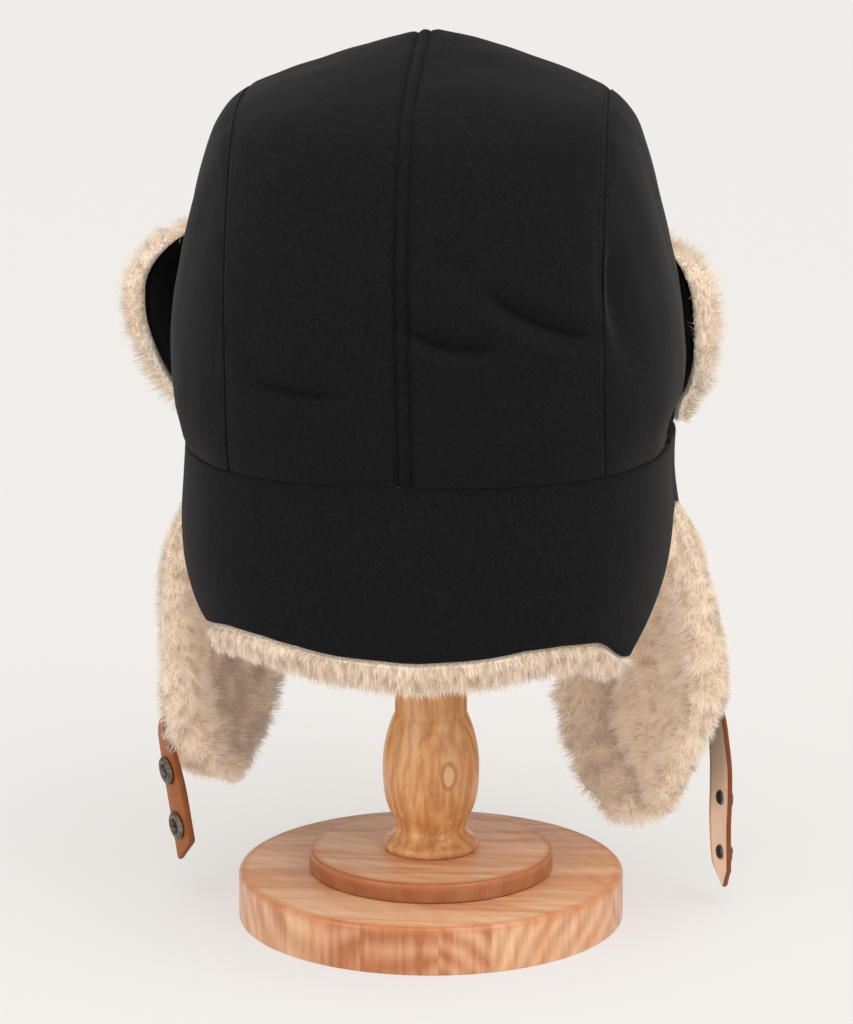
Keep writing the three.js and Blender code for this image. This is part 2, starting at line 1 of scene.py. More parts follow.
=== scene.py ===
# %% [markdown]
# # An aviator hat on its turned stand
#
# The hat is soft: padded black cloth outside, pale pile inside, and flaps that hang or are
# turned up. The solids that hold its sizes are already made, in one frame with this script.
# Here every soft piece gets its real surface, seams, stitches and hairs, and the wood gets
# its grain. Lengths are written in millimetres, as a hat maker gives them, and become metres
# where a mesh is made.

# %% The frame
import math

import bpy
import numpy as np
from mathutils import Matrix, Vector


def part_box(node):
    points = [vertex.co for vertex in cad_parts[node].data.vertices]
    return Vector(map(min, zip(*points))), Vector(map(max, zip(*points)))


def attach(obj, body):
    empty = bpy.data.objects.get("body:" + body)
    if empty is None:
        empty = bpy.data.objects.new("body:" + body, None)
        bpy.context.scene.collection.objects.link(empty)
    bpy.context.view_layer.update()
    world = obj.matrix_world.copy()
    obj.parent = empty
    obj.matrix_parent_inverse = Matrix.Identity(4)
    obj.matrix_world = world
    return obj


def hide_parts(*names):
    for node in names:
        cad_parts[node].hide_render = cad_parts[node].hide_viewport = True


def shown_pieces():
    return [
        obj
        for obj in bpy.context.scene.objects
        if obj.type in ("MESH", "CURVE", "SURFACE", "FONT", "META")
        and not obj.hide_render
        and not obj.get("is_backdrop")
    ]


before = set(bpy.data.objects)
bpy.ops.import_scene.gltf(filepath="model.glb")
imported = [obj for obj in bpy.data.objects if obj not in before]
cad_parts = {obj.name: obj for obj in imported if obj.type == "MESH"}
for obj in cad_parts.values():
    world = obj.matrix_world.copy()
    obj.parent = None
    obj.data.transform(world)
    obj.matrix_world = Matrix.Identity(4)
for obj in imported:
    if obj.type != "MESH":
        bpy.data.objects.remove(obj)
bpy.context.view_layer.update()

MM = 0.001
print("solids in the frame:", len(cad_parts))

# %% [markdown]
# ## Shader maths as expressions
#
# A node tree is quicker to read as a formula. This small class wraps a socket, so that an
# expression on it adds the Math nodes. Every other node comes from one method.

# %% Expressions on sockets
class Value:
    """A socket's output that can be used in arithmetic."""

    def __init__(self, material, socket):
        self.material = material
        self.socket = socket

    def math(self, operation, *others):
        node = self.material.node("ShaderNodeMath", {"operation": operation})
        for slot, value in zip(node.inputs, [self, *others]):
            self.material.feed(slot, value)
        return Value(self.material, node.outputs[0])

    def __add__(self, other):
        return self.math("ADD", other)

    def __sub__(self, other):
        return self.math("SUBTRACT", other)

    def __rsub__(self, other):
        return self.math("MULTIPLY_ADD", -1.0, other)

    def __mul__(self, other):
        return self.math("MULTIPLY", other)

    def __truediv__(self, other):
        return self.math("DIVIDE", other)

    __radd__ = __add__
    __rmul__ = __mul__

    def between(self, low, high):
        """0 below low, 1 above high and smooth between."""
        node = self.material.node(
            "ShaderNodeMapRange", {"interpolation_type": "SMOOTHSTEP"},
            {"Value": self, "From Min": low, "From Max": high},
        )
        return Value(self.material, node.outputs["Result"])


class Material:
    """A Principled material with helpers for its nodes."""

    def __init__(self, name, slot, **settings):
        self.made = bpy.data.materials.new(name)
        self.made.use_nodes = True
        self.tree = self.made.node_tree
        self.slot = slot
        self.shader = self.tree.nodes["Principled BSDF"]
        for socket, value in settings.items():
            self.shader.inputs[socket.replace("_", " ")].default_value = value

    def feed(self, socket, value):
        if isinstance(value, Value):
            self.tree.links.new(value.socket, socket)
        else:
            socket.default_value = value

    def node(self, kind, settings=None, inputs=None):
        node = self.tree.nodes.new(kind)
        for key, value in (settings or {}).items():
            setattr(node, key, value)
        for key, value in (inputs or {}).items():
            self.feed(node.inputs[key], value)
        return node

    def value(self, kind, output, settings=None, inputs=None):
        return Value(self, self.node(kind, settings, inputs).outputs[output])

    def place(self, scale=(1, 1, 1), turn=(0, 0, 0), source="Object"):
        """Object coordinates or the UV map, scaled and turned for a pattern."""
        coordinates = self.value("ShaderNodeTexCoord", source)
        inputs = {"Vector": coordinates, "Scale": scale, "Rotation": turn}
        return self.value("ShaderNodeMapping", "Vector", {}, inputs)

    def noise(self, vector, scale, detail=2.0, rough=0.5, bend=0.0):
        inputs = {"Vector": vector, "Scale": scale, "Detail": detail, "Roughness": rough, "Distortion": bend}
        return self.value("ShaderNodeTexNoise", "Fac", {}, inputs)

    def attribute(self, name, output="Fac"):
        return self.value("ShaderNodeAttribute", output, {"attribute_name": name})

    def axes(self, vector):
        node = self.node("ShaderNodeSeparateXYZ", {}, {"Vector": vector})
        return [Value(self, node.outputs[axis]) for axis in "XYZ"]

    def mix(self, factor, first, second):
        """A colour between two colours or links."""
        node = self.node("ShaderNodeMix", {"data_type": "RGBA"})
        for index, value in ((0, factor), (6, first), (7, second)):
            self.feed(node.inputs[index], value)
        return Value(self, node.outputs[2])

    def bump(self, height, distance, strength=1.0):
        inputs = {"Height": height, "Distance": distance, "Strength": strength}
        self.set("Normal", self.value("ShaderNodeBump", "Normal", {}, inputs))

    def set(self, socket, value):
        self.feed(self.shader.inputs[socket], value)


def linear(red, green, blue):
    """A display colour, 0 to 255, as the linear colour that a shader wants."""
    def one(value):
        share = value / 255
        return share / 12.92 if share < 0.04045 else ((share + 0.055) / 1.055) ** 2.4
    return (one(red), one(green), one(blue), 1.0)


print("a mid grey is", [round(c, 3) for c in linear(128, 128, 128)])

# %% [markdown]
# ## Meshes from formulas
#
# A sewn panel is a smooth surface with an edge that rolls under, so it is made as a grid of
# points whose places a formula gives. Both faces of the cloth come from the same formula at
# two depths, and they meet along the edge, which closes the sheet without a hard corner.

# %% Grids
ROLL_STEPS = np.array([0, 0.03, 0.13, 0.32, 0.6])


def smooth(value, low, high):
    """0 below low, 1 above high and an even S between."""
    share = np.clip((value - low) / (high - low), 0, 1)
    return share * share * (3 - 2 * share)


def mix(first, second, share):
    """Part of the way from the first to the second."""
    return first + (second - first) * share


def steps(length, pitch, roll):
    """Shares of a length: close together where its two ends roll, a pitch apart between."""
    near = ROLL_STEPS * roll / length
    count = max(2, round((length - 2 * roll) / pitch))
    return np.concatenate([near, np.linspace(roll / length, 1 - roll / length, count + 1), 1 - near[::-1]])


def rolled(edge, roll):
    """0 on the flat of a sheet and 1 on its edge, by the distance to the edge."""
    short = np.clip(1 - edge / roll, 0, 1)
    return 1 - np.sqrt(1 - short * short)


print("places over a 20 mm cloth, mm:", np.round(20 * steps(20, 5, 2), 1).tolist())

# %% Closed sheets
def mesh_object(name, points, faces, uv=None):
    """A smooth object at the origin from points in millimetres."""
    points = np.asarray(points, float) * MM
    mesh = bpy.data.meshes.new(name)
    mesh.from_pydata([tuple(p) for p in points], [], faces)
    if uv is not None:
        layer = mesh.uv_layers.new(name="cloth")
        corners = np.empty(len(mesh.loops), int)
        mesh.loops.foreach_get("vertex_index", corners)
        layer.data.foreach_set("uv", (np.asarray(uv, float)[corners] * MM).ravel())
    mesh.validate()
    mesh.polygons.foreach_set("use_smooth", [True] * len(mesh.polygons))
    made = bpy.data.objects.new(name, mesh)
    bpy.context.scene.collection.objects.link(made)
    return made


def signed_volume(points, faces):
    """Six times the volume inside closed faces, below zero where they point inwards."""
    total = 0.0
    for corners in (3, 4):
        alike = np.array([f for f in faces if len(f) == corners])
        for k in range(2, corners if len(alike) else 0):
            a, b, c = points[alike[:, 0]], points[alike[:, k - 1]], points[alike[:, k]]
            total += float(np.einsum("ij,ij->i", a, np.cross(b, c)).sum())
    return total


def sheet(name, outer, inner, us, vs, uv_size, marks=None):
    """A closed sheet from two grids of points that meet along their whole edge.
    A mark is an attribute: its name, and its values on the outer and on the inner grid."""
    down, across = outer.shape[:2]
    index = np.arange(down * across).reshape(down, across)
    back = index + down * across
    back[0], back[-1], back[:, 0], back[:, -1] = index[0], index[-1], index[:, 0], index[:, -1]
    points = np.concatenate([outer.reshape(-1, 3), inner.reshape(-1, 3)])
    def quads(grid, flip):
        corners = [grid[:-1, :-1], grid[:-1, 1:], grid[1:, 1:], grid[1:, :-1]]
        return np.stack(corners[::-1] if flip else corners, -1).reshape(-1, 4)
    faces = np.concatenate([quads(index, False), quads(back, True)])
    if signed_volume(points, faces) < 0:
        faces = faces[:, ::-1]
    used, renamed = np.unique(faces, return_inverse=True)
    u, v = np.meshgrid(us, vs)
    flat = np.stack([u * uv_size[0], v * uv_size[1]], -1).reshape(-1, 2)
    faces = renamed.reshape(faces.shape).tolist()
    made = mesh_object(name, points[used], faces, np.concatenate([flat, flat])[used])
    for mark, grids in (marks or {}).items():
        both = np.concatenate([np.asarray(m, np.float32).reshape(down * across, -1) for m in grids])
        vector = both.shape[1] == 3
        layer = made.data.attributes.new(mark, "FLOAT_VECTOR" if vector else "FLOAT", "POINT")
        layer.data.foreach_set("vector" if vector else "value", both[used].ravel())
    return made


def cloth_sheet(
    name, point, size, wall, roll, pitch=2.0, edge=None, meet=0.5, vs=None, border=(2.5, 5), wear_and_shade=None,
    columns=(),
):
    """A sheet of cloth of a thickness from point(u, v, depth), its edges rolled under.
    The two faces meet at a share of the thickness below the outer one, and the inner face is
    marked from a border's distance inwards."""
    us = np.unique(np.concatenate([steps(size[0], pitch, roll), columns]))
    vs = steps(size[1], pitch, roll) if vs is None else vs
    u, v = np.meshgrid(us, vs)
    if edge is None:
        distance = np.minimum.reduce([u * size[0], (1 - u) * size[0], v * size[1], (1 - v) * size[1]])
    else:
        distance = edge(u, v)
    close = rolled(distance, roll)
    outer = point(u, v, close * wall * meet)
    inner = point(u, v, wall - close * wall * (1 - meet))
    plain = 0 * close
    marks = {
        "inside": (plain, smooth(distance, *border)),
        "back": (plain, plain + 1),
        # This mark paints shade into the cloth's colour along seams, a stitch row and crease bottoms, where a
        # panel gives it.
        "seam_crease_shade": (plain if wear_and_shade is None else wear_and_shade(u, v, outer), plain),
    }
    return sheet(name, outer, inner, us, vs, size, marks)


def sheet_area(made):
    """The area of a sheet's outer face, in square metres."""
    flags = np.empty(len(made.data.vertices), np.float32)
    made.data.attributes["back"].data.foreach_get("value", flags)
    return sum(p.area for p in made.data.polygons if max(flags[i] for i in p.vertices) < 0.5)


print("a rolled edge has", len(ROLL_STEPS) - 1, "rows")

# %% [markdown]
# ## The hat's patterns
#
# A hatter cuts panels from a few measured sections. These tables are the same sections that
# the solids were made through: heights above the floor, half widths and half depths. A
# section is a rounded oblong, and its squareness is the exponent of that curve.

# %% Sections
def table(columns, rows):
    """A table as a dict of its named columns."""
    return dict(zip(columns.split(), np.array(rows, float).T))


def between(rows, place):
    """Every column of a table at places between its rows, along a curve through them."""
    place = np.asarray(place, float)
    found = {}
    for name, column in rows.items():
        last = len(column) - 1
        low = np.clip(np.floor(place).astype(int), 0, last - 1)
        part = place - low
        before, here, there, after = (column[np.clip(low + k, 0, last)] for k in (-1, 0, 1, 2))
        leave, arrive = (there - before) / 2, (after - here) / 2
        bend = (2 * here - 2 * there + leave + arrive) * part + (3 * there - 3 * here - 2 * leave - arrive)
        found[name] = here + part * (leave + part * bend)
    return found


RIM_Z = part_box("crown_side_left")[0].z / MM
CROWN_TOP_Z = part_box("crown_top_left")[1].z / MM
CROWN_WALL = 3.5
FLAP_WALL = 2.4
PILE = 10
LAYER_GAP = 0.8
SEAM_X = 68.5
RIM_GAP = 0.4

CROWN = table("z side back front square", [
    (193.5, 92.0, 101, 101, 2.5),
    (201.5, 95.5, 104, 104, 2.5),
    (217.5, 97.0, 106, 106, 2.45),
    (243.5, 95.5, 106, 106, 2.4),
    (266.5, 91.5, 103, 103, 2.35),
    (287.5, 86.5, 96, 97, 2.3),
    (303.5, 82.0, 88, 89, 2.3),
    (314.5, 77.5, 79, 80, 2.3),
    (322.5, 69.5, 68, 69, 2.2),
    (329.5, 54.0, 54, 55, 2.1),
    (335.5, 38.0, 39, 39, 2.05),
    (341.5, 20.0, 21, 21, 2.0),
    (345.7, 3.6, 3.6, 3.6, 2.0),
    (346.5, 0, 0, 0, 2.0),
])
CROWN_LEAN = -1.5

FOLDS = table("from_x from_z to_x to_z sag deep wide", [
    (2, 251.5, 34, 245.5, 3, 1.7, 5.5),
    (29, 264.5, 66, 246.5, 3, 1.9, 5.5),
    (11, 277.5, 26, 271.5, 1, 0.8, 5),
    (-58, 230.5, -22, 227.5, 2, 1.5, 5.5),
    (70, 277.5, 82, 233.5, 3, 1.8, 6),
])
# Tight creases that only the cloth shows: each is a sharp valley inside a broad fold
CREASES = table("from_x from_z to_x to_z sag deep wide", [
    (-3, 252.5, 31, 245.2, 3.5, 2.5, 3.0),
    (27, 264.5, 64, 246.2, 3, 2.8, 3.2),
    (-57, 230.3, -24, 227.6, 2, 2.0, 2.6),
    (71, 275.0, 79, 240.0, 2, 1.6, 3.0),
    (-68, 244.0, -50, 236.5, 1, 0.9, 3.0),
    (7, 277.5, 24, 271.5, 1, 0.9, 3.0),
    (-38, 262.0, -14, 281.0, -2, 0.6, 4.0),
    (-72, 316.0, -50, 304.0, 1, 0.9, 4.0),
    (24, 226.0, 52, 231.0, -2, 0.6, 4.0),
    (-46, 212.0, -18, 207.0, -1, 0.6, 4.0),
])
PINCH = {"z": 201.5, "tall": 8, "long": 45, "left": 2.5, "right": 5.5}


def lean(points):
    """The crown leans a little to the left between its rim and its top."""
    points[..., 0] += CROWN_LEAN * smooth(points[..., 2], RIM_Z, 288) * (1 - smooth(points[..., 2], 322, 346))
    return points


def stack(x, y, z):
    """Points from their three coordinates, any of which may be one number."""
    return np.stack(np.broadcast_arrays(x, y, z), -1).astype(float)


print("crown from", round(RIM_Z, 1), "to", round(CROWN_TOP_Z, 1), "mm")

# %% [markdown]
# ## Crown
#
# Four padded panels meet along a seam over the middle and two seams beside it. Wadding makes
# padded cloth swell between its seams and pull in at them, and where it is pushed it dents
# in long, soft folds. A cloth simulation would find such folds by chance; here the photo's
# own folds are wanted, so each one is a valley with a roll beside it, added by formula.

# %% Folds and creases
def ripple(x, y, z, size, seed):
    """A smooth, irregular wave of a size in millimetres, from -1 to 1."""
    rng = np.random.default_rng(seed)
    total = 0.0
    for _ in range(7):
        direction = rng.normal(size=3)
        direction /= np.linalg.norm(direction)
        wave = size * rng.uniform(0.7, 1.5)
        along = x * direction[0] + y * direction[1] + z * direction[2]
        total = total + np.sin(along * math.tau / wave + rng.uniform(0, math.tau))
    return total / 4


def each_fold(x, z, folds):
    """For each fold of a table, where the points lie: the share of its length, the distance
    from its arc in millimetres, and then its own depth and width."""
    for from_x, from_z, to_x, to_z, sag, deep, wide in zip(*folds.values()):
        run_x, run_z = to_x - from_x, to_z - from_z
        length = math.hypot(run_x, run_z)
        along = ((x - from_x) * run_x + (z - from_z) * run_z) / length**2
        off = ((z - from_z) * run_x - (x - from_x) * run_z) / length + sag * 4 * along * (1 - along)
        yield along, off, deep, wide


def fold_depth(x, z, folds, sharp=False):
    """How deep the folds press the cloth in, with half as high a roll beside each valley."""
    depth = np.zeros(np.broadcast(x, z).shape)
    for along, off, deep, wide in each_fold(x, z, folds):
        fade = smooth(along, -0.15, 0.2) * (1 - smooth(along, 0.75, 1.15))
        valley = np.exp(-np.sqrt((off / wide) ** 2 + 0.02)) if sharp else np.exp(-((off / wide) ** 2))
        roll = np.exp(-(((off + 2.0 * wide) / wide) ** 2))
        depth += deep * fade * (valley - 0.5 * roll)
    return depth


def crease_lines(x, z):
    """1 along the bottom of each crease, where shade is painted into the cloth, and 0 a millimetre away."""
    mark = np.zeros(np.broadcast(x, z).shape)
    for along, off, deep, _ in each_fold(x, z, CREASES):
        fade = smooth(along, -0.1, 0.25) * (1 - smooth(along, 0.7, 1.1))
        mark += deep / 2.8 * fade * np.exp(-((off / 1.1) ** 2))
    return np.clip(mark, 0, 1)


print("folds:", len(FOLDS["sag"]), "creases:", len(CREASES["sag"]))

# %% Crown surface
def crown_section(place, inset):
    """The crown's section at a place between the rows, an inset inside its outer face."""
    row = between(CROWN, place)
    lid = smooth(place, 5, 10)
    return {
        "z": row["z"] - inset * lid,
        "side": row["side"] - inset,
        "back": row["back"] - inset,
        "front": row["front"] - inset,
        "square": row["square"],
    }


def crown_top(x, inset):
    """The highest place between the rows at which the crown is still as wide as x."""
    x, inset = np.broadcast_arrays(np.asarray(x, float), inset)
    low, high = np.full(x.shape, 3.0), np.full(x.shape, len(CROWN["z"]) - 1.0)
    for _ in range(40):
        middle = (low + high) / 2
        wide = crown_section(middle, inset)["side"] > x
        low, high = np.where(wide, middle, low), np.where(wide, high, middle)
    return low


def outer_share(depth):
    """1 on the crown's outer face and 0 on its inner one."""
    return 1 - np.clip(depth / CROWN_WALL, 0, 1)


def padding(x, y, z, depth):
    """How far the outer cloth stands proud of the pattern, less near the inner face."""
    broad, small = ripple(x, y, z, 46, 3), ripple(x, y, z, 19, 5)
    return outer_share(depth) * (0.45 * broad + 0.22 * small)


STITCH_OFF = 4.8  # from the centre seam to the row of stitches beside it
STITCH_DEEP = 1.0


def seam_pull(distance, x, y, z, depth, stitched=0.0):
    """Small puckers that the stitching pulls into the cloth beside a seam."""
    tight = np.exp(-((distance / 7.0) ** 2)) * smooth(distance, 0.4, 2.4)
    swell = 0.7 * smooth(distance, 0.0, 3.0)
    groove = STITCH_DEEP * np.exp(-(((distance - STITCH_OFF) / 0.9) ** 2)) * stitched
    return outer_share(depth) * (swell + 0.3 * tight * ripple(x, y, z, 9, 8) - groove - 0.6)


def dents(x, z, depth):
    """How far the back is pressed in: the folds all through, the creases in the cloth alone."""
    return fold_depth(x, z, FOLDS) + outer_share(depth) * fold_depth(x, z, CREASES, True)


def arc(section, reach, across):
    """How far from the middle a section reaches, beside a distance across it."""
    share = np.minimum(np.abs(across) / np.maximum(section["side"], 1e-6), 1)
    return reach * (1 - share ** section["square"]) ** (1 / section["square"])


def top_point(x, w, depth):
    """A point on a top panel: x across the hat, w from -1 at the back rim to 1 at the front."""
    section = crown_section(crown_top(np.abs(x), depth) * (1 - w * w), depth)
    reach = np.where(w < 0, section["back"], section["front"])
    y = arc(section, reach, x)
    z = section["z"]
    seam = np.minimum(np.abs(x), SEAM_X - np.abs(x))
    stitched = np.where((x < 0) & (np.abs(x) < SEAM_X / 2), 1.0, 0.0)
    proud = padding(x, np.sign(w) * y, z, depth) + seam_pull(seam, x, np.sign(w) * y, z, depth, stitched)
    pressed = np.where(w < 0, dents(x, z, depth), 0.0)
    lid = smooth(z, 300, 340)
    wide = smooth(y, 0, 12)
    y = y + (proud * (1 - lid) - pressed) * wide
    return lean(stack(x, np.sign(w) * y, z + proud * lid))


def side_parts(s, w, depth):
    """The crown's section at w, its reach back or forwards, and how far off its seam is."""
    section = crown_section(crown_top(SEAM_X, depth) * (1 - w * w), depth)
    reach = np.where(s < 0, section["back"], section["front"])
    return section, reach, arc(section, reach, SEAM_X)


def side_point(sign, s, w, depth):
    """A point on a side panel: s from -1 at its back seam to 1 at its front, w from top to rim."""
    section, reach, seam = side_parts(s, w, depth)
    y, z = s * seam, section["z"]
    x = section["side"] * (1 - (np.abs(y) / reach) ** section["square"]) ** (1 / section["square"])
    fold = np.where(s < 0, dents(sign * x, z, depth) * np.abs(s), 0.0)
    deep = PINCH["left"] if sign < 0 else PINCH["right"]
    pinch = deep * np.exp(-((y / PINCH["long"]) ** 2) - ((z - PINCH["z"]) / PINCH["tall"]) ** 2)
    proud = padding(x, y, z, depth) + seam_pull((1 - np.abs(s)) * seam, x, y, z, depth)
    wide = smooth(x, SEAM_X, SEAM_X + 4)
    return lean(stack(sign * np.maximum(x - (fold + pinch - proud) * wide, SEAM_X), y, z))


print("crown's peak, mm:", np.round(top_point(np.zeros(1), np.zeros(1), np.zeros(1)), 1).tolist())

# %% Crown panels
SEAM_ROLL = 1.2
SEAM_MEET = 0.22
TOP_SIZE = (SEAM_X, 470.0)
SIDE_SIZE = (165.0, 135.0)


def top_panel(side, sign):
    """Half of the crown from the back rim over the top to the front rim. Its rows are 1.2 mm
    apart on the back, so that the creases there come out."""
    def point(u, v, depth):
        return top_point(sign * SEAM_X * np.maximum(u, 1e-6), mix(-1, 1, v), depth)
    # Painted shade: near black along both seams, along the stitch row beside the centre seam and at the
    # bottoms of the back's creases.
    def seam_crease_shade(u, _, points):
        seam = np.exp(-((u * SEAM_X / 0.9) ** 2)) + 0.7 * np.exp(-(((1 - u) * SEAM_X / 0.9) ** 2))
        row = 0.8 * np.exp(-((u * SEAM_X - STITCH_OFF) ** 2)) * (sign < 0)
        lines = crease_lines(points[..., 0], points[..., 2]) * (points[..., 1] < 0)
        return np.clip(seam + row * (points[..., 1] < 40) + lines, 0, 1)
    heights = np.arange(RIM_Z + 1.4, 302, 1.2)
    places = np.interp(heights, CROWN["z"], np.arange(len(CROWN["z"])))
    back_rows = (1 - np.sqrt(1 - places / 12)) / 2
    rest = np.linspace(back_rows[-1] + 0.006, 1 - SEAM_ROLL / TOP_SIZE[1], 118)
    rolls = ROLL_STEPS * SEAM_ROLL / TOP_SIZE[1]
    vs = np.unique(np.concatenate([rolls, back_rows, rest, 1 - rolls]))
    return cloth_sheet(
        f"crown_top_cloth_{side}", point, TOP_SIZE, CROWN_WALL, SEAM_ROLL, 1.5,
        meet=SEAM_MEET, vs=vs, wear_and_shade=seam_crease_shade, columns=(STITCH_OFF + np.array([-0.9, 0, 0.9])) / SEAM_X,
    )


def side_panel(side, sign):
    """The side of the crown; its columns are closer together at the two seams."""
    def turned(u):
        return np.sin(mix(-1, 1, u) * math.pi / 2)
    def point(u, v, depth):
        return side_point(sign, turned(u), mix(0.02, 1, v), depth)
    def edge(u, v):
        seam = side_parts(turned(u), mix(0.02, 1, v), 0.0)[2]
        return np.minimum.reduce([(1 - np.abs(turned(u))) * seam, v * SIDE_SIZE[1], (1 - v) * SIDE_SIZE[1]])
    return cloth_sheet(
        f"crown_side_cloth_{side}", point, SIDE_SIZE, CROWN_WALL, SEAM_ROLL, 1.9, edge, SEAM_MEET
    )


SIDES = {"left": -1, "right": 1}
crown = {}
for side, sign in SIDES.items():
    crown[f"crown_top_{side}"] = top_panel(side, sign)
    crown[f"crown_side_{side}"] = side_panel(side, sign)
print("crown panels:", {name: len(piece.data.polygons) for name, piece in crown.items()})

# %% [markdown]
# ## Flaps
#
# Each flap is one layer of the same cloth with pile behind it. The neck flap and the two ear
# flaps hang from the rim, and the front flap is folded up against the crown, so its pile
# faces out. The formulas follow the solids', with the cloth's edge rolled over.

# %% Neck flap
NECK = table("z side back square edge", [
    (193.1, 92.3, 101.5, 2.5, 83),
    (181.5, 92.9, 103.5, 2.55, 84),
    (165.5, 93.6, 105, 2.65, 83),
    (151.5, 92.8, 105.5, 2.75, 77),
    (139, 90.8, 105, 2.85, 67),
    (128.5, 89, 104, 2.95, 56),
])
NECK_HEM = {"rise": 6.5, "left": 1, "right": 10.5}
NECK_FRINGE = 6.5
# How much higher than a plain curve the cut hem is
HEM = table("x lift", [
    (-84, 0),
    (-70, 2.0),
    (-55, 3.6),
    (-42, 3.6),
    (-27, 2.3),
    (0, 0),
    (27, 2.0),
    (41, 3.3),
    (54, 2.0),
    (68, -1.7),
    (80, 0),
])


def power(value, exponent):
    """A power that keeps the sign."""
    return np.sign(value) * np.abs(value) ** exponent


def neck_point(u, v, depth):
    """A point on the neck flap: u from its left edge to its right one, v from rim to hem."""
    row = between(NECK, np.clip(v, 0, 1) * (len(NECK["z"]) - 1))
    turn = mix(-1, 1, u)
    angle = np.radians(turn * row["edge"])
    x = (row["side"] - depth) * power(np.sin(angle), 2 / row["square"])
    y = -(row["back"] - depth) * power(np.cos(angle), 2 / row["square"])
    corner = np.where(turn < 0, NECK_HEM["left"], NECK_HEM["right"])
    wave = NECK_HEM["rise"] * smooth(np.abs(turn), 0.1, 0.85)
    hang = corner * smooth(np.abs(turn), 0.72, 1)
    fringe = NECK_FRINGE * np.maximum(v - 1, 0) * (1 - 0.75 * smooth(turn, 0.82, 1))
    lift = np.interp(x, HEM["x"], HEM["lift"])
    return stack(x, y, row["z"] + (wave - hang + lift) * np.clip(v, 0, 1) ** 2 - fringe)


print("neck flap's corners, mm:", np.round(neck_point(np.array([0, 1]), 1.0, 0.0), 1).tolist())

# %% Ear flaps
EAR = {
    "right": table("z rear_x rear_y front_x front_y bow", [
        (193.1, 91.6, -10.5, 63, 78, 12),
        (179.5, 90.5, -11, 63, 80, 13),
        (165.5, 93.5, -11, 62.5, 82, 12.5),
        (152.5, 99, -10, 62, 84, 11),
        (133.5, 105, -8, 61, 85.5, 8.5),
        (111.5, 110, -5, 60.5, 86, 6.5),
        (89.5, 111.5, 0, 60, 85, 5),
        (72.5, 105.5, 6, 60, 83, 4.5),
        (56.5, 100.5, 14, 61.5, 80, 4),
        (42.5, 96, 23, 65.5, 75, 3.5),
        (33.5, 91, 33, 71, 67.5, 2.5),
        (30.5, 85, 43, 77, 57, 1),
    ]),
    "left": table("z rear_x rear_y front_x front_y bow", [
        (193.1, 91.6, -10.5, 63, 78, 12),
        (179.5, 90.5, -11, 64, 80, 13),
        (165.5, 93, -11, 65, 81.5, 12.5),
        (152.5, 98.5, -10, 66.5, 83, 11),
        (135.5, 102, -9, 68.5, 84, 9),
        (116.5, 102.5, -7, 71, 84, 7),
        (98.5, 102, -4, 73.5, 83, 5.5),
        (83.5, 101.5, -1, 75.5, 81.5, 4.5),
        (69.5, 99.5, 5, 78, 79, 4),
        (57.5, 96, 14, 81, 74, 3.5),
        (49.5, 91.5, 25, 83.5, 66, 2.5),
        (46.5, 88, 35, 85, 55, 1),
    ]),
}
EAR_FRINGE = 0.065
TIP_FRINGE = 4


def ear_point(side, u, v, depth):
    """A point on an ear flap: u from its rear edge to its front one, v from rim to tip."""
    rows = EAR[side]
    row = between(rows, np.clip(v, 0, 1) * (len(rows["z"]) - 1))
    chord_x, chord_y = row["front_x"] - row["rear_x"], row["front_y"] - row["rear_y"]
    width = np.hypot(chord_x, chord_y)
    forward_x, forward_y = chord_x / width, chord_y / width
    slope = np.arctan2(4 * row["bow"] * (1 - 2 * u), width)
    along = u * width + depth * np.sin(slope)
    out = 4 * row["bow"] * u * (1 - u) - depth * np.cos(slope)
    x = row["rear_x"] + forward_x * along + forward_y * out
    y = row["rear_y"] + forward_y * along - forward_x * out
    return stack(SIDES[side] * x, y, row["z"] - TIP_FRINGE * np.maximum(v - 1, 0))


for side in EAR:
    print(side, "ear flap's tip, mm:", np.round(ear_point(side, 0.5, 1.0, 0.0), 1).tolist())

# %% Front flap
FRONT = table("z edge stand flare", [
    (186.5, 65, 3.4, 0.4),
    (200.5, 69, 1.4, 0.65),
    (214.5, 71, 1.0, 0.85),
    (230.5, 71.5, 1.0, 1.05),
    (246.5, 70, 1.0, 1.08),
    (259.5, 65.5, 1.0, 0.8),
    (266.5, 54, 1.0, 0.55),
])
FRONT_FLARE = {"left": 20, "right": 5}
FRONT_DROP = {"left": 6, "right": 13}  # how much lower its top edge is at its two ends
FRONT_FRINGE = 0.02
FRONT_TOP_FRINGE = 5


def front_point(u, v, depth):
    """A point on the front flap: u from its left end to its right one, v up from its fold."""
    row = between(FRONT, np.clip(v, 0, 1) * (len(FRONT["z"]) - 1))
    turn = mix(-1, 1, u)
    drop = np.where(turn < 0, FRONT_DROP["left"], FRONT_DROP["right"]) * smooth(np.abs(turn), 0.6, 1)
    z = row["z"] - drop * np.clip(v, 0, 1) ** 2
    heights = CROWN["z"]
    below = np.clip(np.searchsorted(heights, z, side="right") - 1, 0, None)
    part = np.maximum(z - heights[below], 0) / (heights[below + 1] - heights[below])
    section = between(CROWN, below + part)
    angle = np.radians(turn * row["edge"])
    flare = np.where(turn < 0, FRONT_FLARE["left"], FRONT_FLARE["right"])
    off = row["stand"] + depth + flare * row["flare"] * smooth(np.abs(turn), 0.55, 1)
    x = (section["side"] + off) * power(np.sin(angle), 2 / section["square"])
    y = (section["front"] + off) * power(np.cos(angle), 2 / section["square"])
    return lean(stack(x, y, z + FRONT_TOP_FRINGE * np.maximum(v - 1, 0)))


print("front flap's top edge, mm:", np.round(front_point(0.5, np.ones(1), 0.0), 1).tolist())

# %% Cloth of the flaps
FLAP_ROLL = 1.6
FLAP_SIZE = {
    "neck": (286.0, 65.0),
    "ear_left": (102.0, 152.0),
    "ear_right": (103.0, 170.0),
    "front": (260.0, 81.0),
}
DARTS = ({"x": -55, "long": 0.7}, {"x": 38, "long": 0.6})


